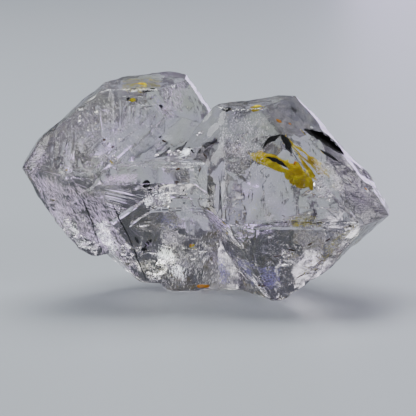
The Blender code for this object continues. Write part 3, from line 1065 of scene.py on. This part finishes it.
# %% Quartz
BLOTCHES_PER_MM = 0.9
TINTS_PER_MM = 0.33
LUMPS_PER_MM = 2.2
PITS_PER_MM = 2.6
LINES_PER_MM, LINES_ALONG_PER_MM = 3.6, 0.26
BUMP_MM = 0.022
POLISHED, ETCHED_DULL = 0.015, 0.26

quartz_material, tree = material("rock_crystal")
place = node(tree, "ShaderNodeTexCoord")
worn = node(tree, "ShaderNodeAttribute", attribute_name="worn")
blotches = node(tree, "ShaderNodeTexNoise", [("Vector", place, "Object")],
                Scale=BLOTCHES_PER_MM / MM, Detail=5.0)
dull = node(tree, "ShaderNodeMapRange", [("Value", blotches, "Fac")],
            From_Min=0.36, From_Max=0.62, To_Min=0.35)
rough_here = node(tree, "ShaderNodeMath", [(0, worn, "Fac"), (1, dull, "Result")], operation="MULTIPLY")
roughness = node(tree, "ShaderNodeMapRange", [("Value", rough_here, "Value")],
                 To_Min=POLISHED, To_Max=ETCHED_DULL)
across = node(tree, "ShaderNodeMapping", [("Vector", place, "Object")],
              Scale=(LINES_PER_MM / MM, LINES_ALONG_PER_MM / MM, LINES_ALONG_PER_MM / MM))
stria = node(tree, "ShaderNodeTexNoise", [("Vector", across, "Vector")], Scale=1.0, Detail=3.0)
pits = node(tree, "ShaderNodeTexVoronoi", [("Vector", place, "Object")], Scale=PITS_PER_MM / MM)
pitted = node(tree, "ShaderNodeMath", [(0, pits, "Distance"), (1, worn, "Fac")], operation="MULTIPLY")
lumps = node(tree, "ShaderNodeTexNoise", [("Vector", place, "Object")],
             Scale=LUMPS_PER_MM / MM, Detail=4.0)
lined = node(tree, "ShaderNodeMath", [(0, stria, "Fac"), (1, pitted, "Value")], operation="ADD")
fine_relief = node(tree, "ShaderNodeMath", [(0, lined, "Value"), (1, lumps, "Fac")], operation="ADD")
bump = node(tree, "ShaderNodeBump", [("Height", fine_relief, "Value")], Strength=0.5, Distance=BUMP_MM * MM)
tint_noise = node(tree, "ShaderNodeTexNoise", [("Vector", place, "Object")],
                  Scale=TINTS_PER_MM / MM, Detail=4.0, Distortion=0.6)
tint = ramp(tree, tint_noise, ((0.34, "#dfe0cf"), (0.66, "#e6dcee"), (0.5, "#f4f1f5")))
surface = node(tree, "ShaderNodeBsdfPrincipled",
               [("Base Color", tint, "Color"), ("Roughness", roughness, "Result"),
                ("Normal", bump, "Normal")],
               IOR=QUARTZ_IOR, Transmission_Weight=0.985)
volume = node(tree, "ShaderNodeVolumeAbsorption", Color=linear("#b8b6bc"), Density=60.0)
node(tree, "ShaderNodeOutputMaterial", [("Surface", surface, "BSDF"), ("Volume", volume, "Volume")])
quartz.data.materials.clear()
quartz.data.materials.append(quartz_material)
for polygon in quartz.data.polygons:
    polygon.material_index = 0
print("nodes in the quartz finish:", len(tree.nodes))

# %% [markdown]
# The oil is a light crude, vivid yellow and a little cloudy. The bitumen is what heat left of
# heavier oil: black. Both have an index close to quartz's, so their walls against the quartz
# hardly mirror. The shader measures the index from air, so everything sealed in the quartz gets
# the small step between the two, and not its own index. Lamp light hardly reaches what lies
# behind the clear faces in a path tracer, so the oil and the pale things get some light of
# their own.

# %% Oil and bitumen
SEALED_IOR = 1.04
STREAKS_PER_MM = 1.7

# A light crude oil: streaks of a darker and a lighter yellow.
oil_material, tree = material("light_crude_oil")
place = node(tree, "ShaderNodeTexCoord")
streaks = node(tree, "ShaderNodeTexNoise", [("Vector", place, "Object")],
               Scale=STREAKS_PER_MM / MM, Detail=5.0, Distortion=0.4)
shade = ramp(tree, streaks, ((0.36, "#c8a800"), (0.6, "#fff02a")))
surface = node(tree, "ShaderNodeBsdfPrincipled", [("Base Color", shade, "Color")], Roughness=0.35,
               IOR=SEALED_IOR, Transmission_Weight=0.0,
               Emission_Color=linear("#f2d800"), Emission_Strength=0.06)
node(tree, "ShaderNodeOutputMaterial", [("Surface", surface, "BSDF")])


def sealed(name, colour, roughness, glow=0.0, glow_colour=None):
    """The finish of something sealed in the quartz: one colour, and its own light if it has any."""
    made, tree = material(name)
    lit = {"Emission_Color": linear(glow_colour or colour), "Emission_Strength": glow} if glow else {}
    surface = node(tree, "ShaderNodeBsdfPrincipled", Base_Color=linear(colour), Roughness=roughness,
                   IOR=SEALED_IOR, **lit)
    node(tree, "ShaderNodeOutputMaterial", [("Surface", surface, "BSDF")])
    return made


# Bitumen: black, and dull as pitch is where it fills a crack. The same black also draws two painted shadow
# lines along the ledges on the lower left.
bitumen_and_painted_shadow_material = sealed("bitumen", "#08080b", 0.45)
# Amber oil: a heavier oil in small round drops, orange where it is thick.
amber_material = sealed("amber_oil", "#f0a21c", 0.3, 0.05, "#e08a10")
# Brown tar: stains that oil left on crack walls.
tar_material = sealed("brown_tar", "#5a3f22", 0.5)
# Fluid inclusions: bubbles of brine and gas, which scatter light and look white.
fluid_material = sealed("fluid_inclusions", "#efecf2", 0.5, 0.7)
# Painted glints: near-white flakes that glow on their own, where open crack walls would throw a lamp straight
# back.
painted_glint_material = sealed("painted_crack_glint", "#f4f8fa", 0.3, 1.7, "#f2f7fa")
# Silk on the etched left end, which looks lavender, and painted lavender reflections: pale specks that glow a
# little.
lavender_and_painted_sheen_material = sealed("lavender_silk_and_painted_sheen", "#ddd0e8", 0.5, 0.6)
# A thin film of gas in a crack, violet by interference, drawn as a painted sheen: specks that glow a little.
violet_material = sealed("violet_sheen", "#8d86c9", 0.5, 0.35)
# A thin film of oil in a crack: greenish yellow.
green_material = sealed("greenish_film", "#a8a552", 0.5, 0.3)
print("finishes:", [finish.name for finish in bpy.data.materials])

# %% [markdown]
# The cavity that the oil fills has a ragged rim. The piece is the plain solid, cut into small
# triangles and roughened by noise of three sizes. The oil stays where the CAD has it.

# %% Ragged oil
def finished(name, mesh, finish, smooth=True):
    """Links a mesh as an object at the origin, with one finish all over."""
    if smooth:
        mesh.shade_smooth()
    mesh.materials.clear()
    mesh.materials.append(finish)
    made = bpy.data.objects.new(name, mesh)
    bpy.context.scene.collection.objects.link(made)
    print(name, "triangles:", sum(len(polygon.vertices) - 2 for polygon in mesh.polygons))
    return made


def roughened(name, finish, finest, deepest, grain):
    """A finer copy of a CAD solid: triangles no longer than finest and lifted by up to deepest, in mm."""
    cad = frame["nodes"][name]
    body = bmesh.new()
    body.from_mesh(cad.data)
    body.transform(cad.matrix_world)
    bmesh.ops.remove_doubles(body, verts=body.verts[:], dist=LEAST_EDGE * MM)
    bmesh.ops.triangulate(body, faces=body.faces[:])
    for turn in range(6):
        long_edges = [edge for edge in body.edges if edge.calc_length() > finest * MM]
        if not long_edges:
            break
        bmesh.ops.subdivide_edges(body, edges=long_edges, cuts=1)
        bmesh.ops.triangulate(body, faces=body.faces[:])
    body.normal_update()
    lifted = []
    for vert in body.verts:
        spot = vert.co / MM / grain
        rise = noise.noise(spot) + 0.6 * noise.noise(spot * 2.7) + 0.35 * noise.noise(spot * 6.1)
        lifted.append(vert.co + vert.normal * rise * deepest * MM)
    for vert, place in zip(body.verts, lifted):
        vert.co = place
    mesh = bpy.data.meshes.new(f"{name}_body")
    body.to_mesh(mesh)
    body.free()
    piece = finished(f"{name}_body", mesh, finish)
    for polygon in mesh.polygons:
        polygon.material_index = 0
    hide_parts(name)
    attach(piece, "root")


OIL_TRIANGLE = 0.1
OIL_RAGS = 0.14
OIL_GRAIN = 0.35
roughened("petroleum", oil_material, OIL_TRIANGLE, OIL_RAGS, OIL_GRAIN)

# %% [markdown]
# The bitumen is a thin two-lobed film just under the right crystal's upper point face. Narrow
# black films edge the oil pocket, and thin dark seams run along old cracks elsewhere. The last two
# rows are painted shadow: black lines along the steps of the ledges on the lower left. Each film
# is a row of flat rings along a line of photo pixels, and a noise makes its rim ragged. A row of
# the table is a depth in mm, the pixels, and half the width in mm at each of them.

# %% Bitumen films
FILM_THICKNESS = 0.13
RING = 18
FILMS_AND_SHADOW_LINES = (
    (0.25, ((304, 129), (311, 133), (318, 137), (325, 141), (332, 146), (340, 152), (348, 159)),
     (0.05, 0.34, 0.44, 0.46, 0.42, 0.32, 0.04)),
    (0.25, ((318, 148), (325, 153), (333, 158), (341, 163)), (0.02, 0.15, 0.17, 0.02)),
    (0.35, ((263, 148), (267, 142), (273, 138), (281, 135)), (0.02, 0.13, 0.2, 0.03)),
    (0.35, ((281, 135), (286, 140), (290, 147), (292, 154)), (0.04, 0.22, 0.18, 0.02)),
    (0.30, ((266, 157), (273, 159), (281, 163), (288, 168)), (0.02, 0.14, 0.13, 0.02)),
    (0.25, ((222, 110), (227, 108), (232, 106)), (0.02, 0.12, 0.02)),
    (0.35, ((262, 224), (290, 222), (318, 223), (344, 222)), (0.01, 0.03, 0.025, 0.01)),
    (0.30, ((222, 170), (220, 190), (219, 210), (218, 230)), (0.01, 0.04, 0.035, 0.01)),
    # These two rows are painted shadow: black lines along the edges of the lower-left ledges.
    (0.20, ((110, 200), (118, 215), (128, 235), (138, 260), (146, 280)), (0.01, 0.045, 0.05, 0.045, 0.01)),
    (0.20, ((68, 184), (83, 200), (92, 222), (102, 252)), (0.01, 0.035, 0.04, 0.01)),
)
BETWEEN = 4
RAGGED = 0.5
RAG_ALONG, RAG_ACROSS, RAG_DEPTH = 0.6, 1.3, 9.0


def in_between(values):
    """The values of a list with BETWEEN - 1 more between each two, evenly spaced."""
    closer = []
    for first, second in zip(values, values[1:]):
        closer += [first + (second - first) * (step / BETWEEN) for step in range(BETWEEN)]
    return closer + [values[-1]]


def films(name, finish):
    """One piece of every film and painted shadow line: flat tubes that taper to both ends, turned to lie in
    the picture.
    """
    made = bmesh.new()
    view = camera.rotation_euler.to_matrix()
    toward = view @ Vector((0, 0, 1))
    for depth, pixels, half_widths in FILMS_AND_SHADOW_LINES:
        middles = in_between([inside(u, v, depth) for u, v in pixels])
        half_widths = in_between(half_widths)
        rings = []
        for number, (middle, half_width) in enumerate(zip(middles, half_widths)):
            before, after = middles[max(number - 1, 0)], middles[min(number + 1, len(middles) - 1)]
            wide = (after - before).cross(toward).normalized()
            ring = []
            for step in range(RING):
                angle = 2 * math.pi * step / RING
                cell = Vector((number * RAG_ALONG, math.cos(angle) * RAG_ACROSS, depth * RAG_DEPTH))
                ragged = 1.0 + RAGGED * noise.noise(cell)
                sideways = wide * math.cos(angle) * half_width * ragged
                outwards = toward * math.sin(angle) * min(FILM_THICKNESS, half_width)
                ring.append(made.verts.new(middle + (sideways + outwards) * MM))
            rings.append(ring)
        for low, high in zip(rings, rings[1:]):
            for step in range(RING):
                beside = (step + 1) % RING
                made.faces.new((low[step], low[beside], high[beside], high[step]))
        made.faces.new(rings[0][::-1])
        made.faces.new(rings[-1])
    bmesh.ops.recalc_face_normals(made, faces=made.faces[:])
    mesh = bpy.data.meshes.new(name)
    made.to_mesh(mesh)
    made.free()
    piece = finished(name, mesh, finish)
    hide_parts("bitumen")
    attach(piece, "root")


films("bitumen_films_and_painted_shadows", bitumen_and_painted_shadow_material)

# %% [markdown]
# Small drops of the same oil, brown stains and black specks sit all through the stone. Each is a
# lumpy little ball at the photo's pixel, just under the face, and a long one can be turned in
# the picture. One small orange drop is a painted glint.

# %% Droplets and specks
LUMPY = (0.8, 1.12)
BLOB_THICKNESS = 0.6


def blobs(name, finish, spots):
    """One piece of many lumps: each a pixel, then depth, length and width in mm and a turn in degrees."""
    made = bmesh.new()
    lumps = random.Random(5)
    view = camera.rotation_euler.to_matrix()
    for u, v, depth, long, wide, turned in spots:
        ball = bmesh.ops.create_icosphere(made, subdivisions=2, radius=0.5)["verts"]
        for vert in ball:
            vert.co *= lumps.uniform(*LUMPY)
        size = Matrix.Diagonal((long * MM, wide * MM, min(long, wide) * BLOB_THICKNESS * MM, 1.0))
        turn = (view @ Matrix.Rotation(math.radians(turned), 3, "Z")).to_4x4()
        put = Matrix.Translation(inside(u, v, depth)) @ turn @ size
        bmesh.ops.transform(made, matrix=put, verts=ball)
    mesh = bpy.data.meshes.new(name)
    made.to_mesh(mesh)
    made.free()
    piece = finished(name, mesh, finish)
    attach(piece, "root")
    return piece


drops = blobs("oil_drops", oil_material, (
    (256, 107, 0.25, 0.9, 0.5, 10), (192, 246, 0.4, 0.4, 0.2, 30), (227, 233, 0.4, 0.3, 0.16, 60),
    (112, 163, 0.3, 0.2, 0.16, 0), (132, 100, 0.3, 0.5, 0.24, 0),
    (140, 84, 0.12, 1.0, 0.3, 5), (152, 80, 0.12, 0.5, 0.24, 0),
    (303, 222, 0.4, 1.3, 0.08, 3), (66, 170, 0.3, 0.15, 0.15, 0), (322, 152, 0.8, 0.4, 0.12, -60),
    (303, 132, 0.7, 0.6, 0.09, -50), (299, 153, 0.4, 2.6, 0.07, -54),
))
amber = blobs("amber_drops_and_painted_glint", amber_material, (
    (279, 121, 0.3, 0.5, 0.26, 0), (290, 124, 0.4, 0.24, 0.16, 0), (203, 286, 0.3, 1.0, 0.34, 0),
    # The last drop on the next line, at pixel (295, 163), is a painted glint: an orange spot for a bright
    # orange glint.
    (191, 245, 0.3, 0.2, 0.14, 30), (366, 189, 0.25, 0.3, 0.12, -60), (295, 163, 0.3, 0.3, 0.14, 70),
))
specks = blobs("bitumen_specks", bitumen_and_painted_shadow_material, (
    (146, 186, 0.3, 0.5, 0.36, 20), (150, 190, 0.3, 0.25, 0.2, 0), (184, 190, 0.3, 0.26, 0.1, 80),
    (184, 203, 0.3, 0.2, 0.1, 80), (160, 137, 0.3, 0.22, 0.16, 0), (161, 106, 0.3, 0.3, 0.18, -30),
    (349, 161, 0.15, 0.2, 0.12, -45), (104, 139, 0.25, 0.14, 0.1, 0),
    (149, 90, 0.12, 1.0, 0.24, 12), (127, 99, 0.25, 0.35, 0.16, 35), (191, 150, 0.4, 0.7, 0.14, -40),
    (137, 240, 0.6, 0.2, 0.7, 20), (148, 243, 0.7, 0.9, 0.26, 60), (141, 251, 0.6, 0.4, 0.3, 0),
    (240, 261, 0.5, 0.9, 0.1, -50), (221, 200, 0.5, 3.2, 0.08, -80),
))
stains = blobs("brown_stains", tar_material, (
    (164, 141, 0.3, 0.5, 0.14, -30), (104, 140, 0.25, 0.2, 0.14, 0), (113, 147, 0.25, 0.16, 0.12, 0),
    (178, 168, 0.4, 0.3, 0.12, 20), (205, 155, 0.4, 0.5, 0.12, -40), (350, 181, 0.2, 0.4, 0.1, -60),
    (262, 286, 0.3, 0.7, 0.14, 10), (300, 276, 0.3, 0.8, 0.1, 35), (320, 262, 0.3, 0.6, 0.1, 40),
    (200, 170, 0.4, 0.4, 0.1, 70), (176, 182, 0.4, 0.3, 0.1, 10), (292, 250, 0.4, 0.5, 0.1, -20),
    (310, 244, 0.4, 0.4, 0.1, 30), (278, 256, 0.4, 0.5, 0.12, 15), (328, 240, 0.4, 0.5, 0.08, 40),
))

# %% [markdown]
# Veils that are too fine to be hollows are drawn as pale specks: cloudy patches in the neck and
# the right crystal, lavender silk in the hammered left face together with painted lavender
# reflections, glowing flakes that paint the bright glints of open cracks, violet specks that paint
# a sheen, and greenish films. A row of a table is the sheet's four corners, its specks per square
# mm, half their size and their spread off the sheet in mm, their shape and direction, and how
# patchy it is. SILK is four times as long as its size says, like a needle.

# %% Pale veils
CLOUD_SEED = 40
CLOUD_DEPTH = 0.05


def cloud(name, finish, sheets):
    """One piece of the specks of several sheets."""
    gathered = bmesh.new()
    count = 0
    for number, (corners, per_mm2, size_mm, spread_mm, manner, patchiness) in enumerate(sheets):
        seed = number + CLOUD_SEED
        result = veil(corners, per_mm2, size_mm, spread_mm, seed, *manner, patchiness, finish)
        count += copy_specks(result, gathered, CLOUD_DEPTH, False)
    mesh = bpy.data.meshes.new(name)
    gathered.to_mesh(mesh)
    gathered.free()
    piece = finished(name, mesh, finish, smooth=False)
    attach(piece, "root")
    print(name, "specks:", count)
    return piece


UPRIGHT = (0.1, 0.0, 1.0)
DOWN_RIGHT = (0.5, 0.0, -0.85)
AXIS = (1.0, 0.0, 0.0)
FLAT, FLAT_UP, FLAT_DOWN = (FLAKE, AXIS), (FLAKE, UPRIGHT), (FLAKE, DOWN_RIGHT)
SILK_ALONG, SILK_UP, SILK_DOWN = (SILK, AXIS), (SILK, UPRIGHT), (SILK, DOWN_RIGHT)
THREAD_UP = (THREAD, UPRIGHT)
cloud("healed_cracks", fluid_material, (
    (((222, 122, 0.5), (264, 118, 0.8), (262, 176, 1.4), (224, 176, 0.6)), 800, 0.022, 0.4, THREAD_UP, 0.42),
    (((315, 160, 0.3), (331, 162, 0.3), (343, 188, 0.3), (318, 198, 0.4)), 1100, 0.028, 0.25, FLAT, 0.38),
    (((40, 165, 0.3), (100, 100, 0.4), (160, 108, 0.8), (100, 178, 0.6)), 110, 0.03, 0.4, SILK_DOWN, 0.38),
    (((172, 172, 0.5), (208, 166, 0.6), (212, 226, 0.8), (176, 214, 0.6)), 70, 0.026, 0.4, SILK_DOWN, 0.44),
    (((150, 250, 0.4), (226, 236, 0.7), (240, 284, 0.4), (156, 284, 0.4)), 110, 0.03, 0.4, SILK_UP, 0.42),
    (((262, 232, 0.5), (340, 226, 0.5), (310, 268, 0.4), (264, 284, 0.4)), 150, 0.026, 0.35, FLAT, 0.42),
    (((262, 176, 0.5), (300, 190, 0.5), (338, 222, 0.5), (262, 222, 0.5)), 120, 0.026, 0.4, FLAT, 0.42),
    (((228, 112, 0.3), (262, 112, 0.3), (284, 150, 0.6), (230, 150, 0.6)), 60, 0.026, 0.3, SILK_UP, 0.44),
    (((268, 232, 0.3), (276, 262, 0.3), (290, 274, 0.3), (276, 276, 0.3)), 160, 0.03, 0.2, FLAT, 0.38),
))
# Flakes that glow on their own: painted glints on the open cracks.
cloud("painted_glint_flakes", painted_glint_material, (
    (((144, 200, 0.1), (160, 190, 0.1), (170, 201, 0.12), (152, 212, 0.15)), 900, 0.05, 0.25, FLAT, 0.47),
    (((98, 224, 0.15), (108, 222, 0.15), (116, 248, 0.2), (106, 256, 0.2)), 800, 0.045, 0.2, FLAT, 0.47),
    (((145, 274, 0.1), (154, 266, 0.1), (162, 278, 0.12), (152, 288, 0.12)), 900, 0.045, 0.15, FLAT, 0.46),
    (((154, 250, 0.3), (172, 250, 0.3), (184, 276, 0.4), (164, 278, 0.4)), 500, 0.04, 0.3, SILK_UP, 0.50),
    (((170, 150, 0.2), (190, 149, 0.2), (190, 156, 0.2), (168, 158, 0.2)), 500, 0.035, 0.1, SILK_ALONG, 0.48),
    (((56, 226, 0.15), (70, 222, 0.15), (92, 246, 0.15), (80, 250, 0.15)), 500, 0.04, 0.15, FLAT, 0.48),
))
# Lavender silk and painted lavender reflections: the specks glow a little, and the sheets on the middle face
# and on the right crystal's upper strip paint lavender light mirrored there.
cloud("lavender_veils_and_painted_sheen", lavender_and_painted_sheen_material, (
    (((26, 176, 0.2), (58, 180, 0.3), (108, 250, 0.3), (60, 228, 0.3)), 150, 0.055, 0.25, SILK_DOWN, 0.36),
    (((60, 184, 0.3), (90, 190, 0.4), (140, 276, 0.5), (106, 252, 0.4)), 120, 0.05, 0.3, SILK_DOWN, 0.38),
    (((24, 169, 0.15), (40, 144, 0.15), (48, 158, 0.2), (33, 178, 0.15)), 500, 0.042, 0.1, FLAT, 0.32),
    (((152, 95, 0.3), (184, 80, 0.3), (210, 114, 0.4), (164, 120, 0.4)), 220, 0.032, 0.2, SILK_DOWN, 0.38),
    (((105, 177, 0.2), (137, 174, 0.2), (137, 183, 0.2), (107, 184, 0.2)), 900, 0.046, 0.12, FLAT, 0.34),
    (((92, 196, 0.3), (110, 196, 0.3), (128, 246, 0.3), (112, 240, 0.3)), 220, 0.034, 0.2, SILK_DOWN, 0.38),
    (((316, 116, 0.2), (326, 124, 0.2), (378, 208, 0.2), (366, 200, 0.2)), 160, 0.03, 0.12, FLAT_DOWN, 0.42),
))
# Violet specks that glow a little: a painted sheen.
cloud("violet_sheens", violet_material, (
    (((218, 258, 0.2), (250, 262, 0.2), (254, 286, 0.2), (222, 284, 0.2)), 620, 0.05, 0.15, FLAT, 0.33),
    (((260, 268, 0.3), (278, 268, 0.3), (278, 286, 0.3), (262, 288, 0.3)), 420, 0.046, 0.2, FLAT, 0.36),
    (((158, 218, 0.3), (182, 214, 0.3), (182, 226, 0.3), (160, 230, 0.3)), 260, 0.04, 0.2, FLAT, 0.40),
    (((148, 94, 0.2), (160, 100, 0.2), (166, 114, 0.2), (156, 110, 0.2)), 260, 0.034, 0.15, FLAT, 0.38),
))
cloud("greenish_films", green_material, (
    (((232, 190, 0.5), (258, 190, 0.5), (258, 242, 0.5), (236, 236, 0.5)), 170, 0.028, 0.3, FLAT_UP, 0.36),
    (((286, 218, 0.4), (322, 216, 0.4), (322, 226, 0.3), (286, 227, 0.3)), 260, 0.03, 0.1, SILK_ALONG, 0.36),
    (((124, 80, 0.1), (162, 77, 0.1), (160, 90, 0.15), (122, 92, 0.15)), 620, 0.055, 0.1, FLAT, 0.46),
    (((350, 224, 0.15), (358, 226, 0.15), (318, 270, 0.15), (296, 276, 0.15)), 420, 0.042, 0.12, FLAT, 0.36),
))

# %% [markdown]
# The stage is a pale floor with soft lamps, so that the stone is seen plainly. The lamp overhead
# and a little behind is the one that the feathers mirror. A long lavender one stands low at the
# back right, and the right crystal's upper strip mirrors it at a glance.

# %% Floor, light and world
FLOOR = 3.0
floor_mesh = bpy.data.meshes.new("floor")
floor_corners = [(-FLOOR, -FLOOR, 0), (FLOOR, -FLOOR, 0), (FLOOR, FLOOR, 0), (-FLOOR, FLOOR, 0)]
floor_mesh.from_pydata(floor_corners, [], [(0, 1, 2, 3)])
floor = bpy.data.objects.new("floor", floor_mesh)
bpy.context.scene.collection.objects.link(floor)
floor_material, tree = material("pale_floor")
surface = node(tree, "ShaderNodeBsdfPrincipled", Base_Color=linear("#afb6bd"), Roughness=0.45)
node(tree, "ShaderNodeOutputMaterial", [("Surface", surface, "BSDF")])
floor_mesh.materials.append(floor_material)


def lamp(name, place, size, watts, colour="#ffffff"):
    """A soft box at a place in mm that looks at the stone. size is its width and height in mm."""
    data = bpy.data.lights.new(name, "AREA")
    data.shape = "RECTANGLE"
    data.size, data.size_y = (value * MM for value in size)
    data.energy = watts
    data.color = linear(colour)[:3]
    made = bpy.data.objects.new(name, data)
    made.location = Vector(place) * MM
    aim = Vector((0, 0, 6)) - Vector(place)
    made.rotation_euler = aim.to_track_quat("-Z", "Y").to_euler()
    bpy.context.scene.collection.objects.link(made)


lamp("overhead", (-20, 80, 190), (170, 130), 0.62)
lamp("left_window", (-170, -60, 110), (90, 120), 0.16)
lamp("right_window", (150, -140, 90), (90, 120), 0.14)
lamp("back_right", (66, 176, 20), (100, 34), 0.045, "#d8c8f2")

world = bpy.data.worlds.new("studio")
bpy.context.scene.world = world
world.use_nodes = True
background = world.node_tree.nodes["Background"]
background.inputs["Color"].default_value = linear("#6c6f78")
background.inputs["Strength"].default_value = 0.6
bpy.context.scene.cycles.max_bounces = 32
bpy.context.scene.cycles.transmission_bounces = 32
bpy.context.scene.cycles.glossy_bounces = 16
print("lamps:", [light.name for light in bpy.data.lights])

# %% [markdown]
# The clear piece stands for both halves of the CAD quartz, because a real stone has no parting.

# %% Hand the pieces over
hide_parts("quartz_front", "quartz_back")
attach(quartz, "root")
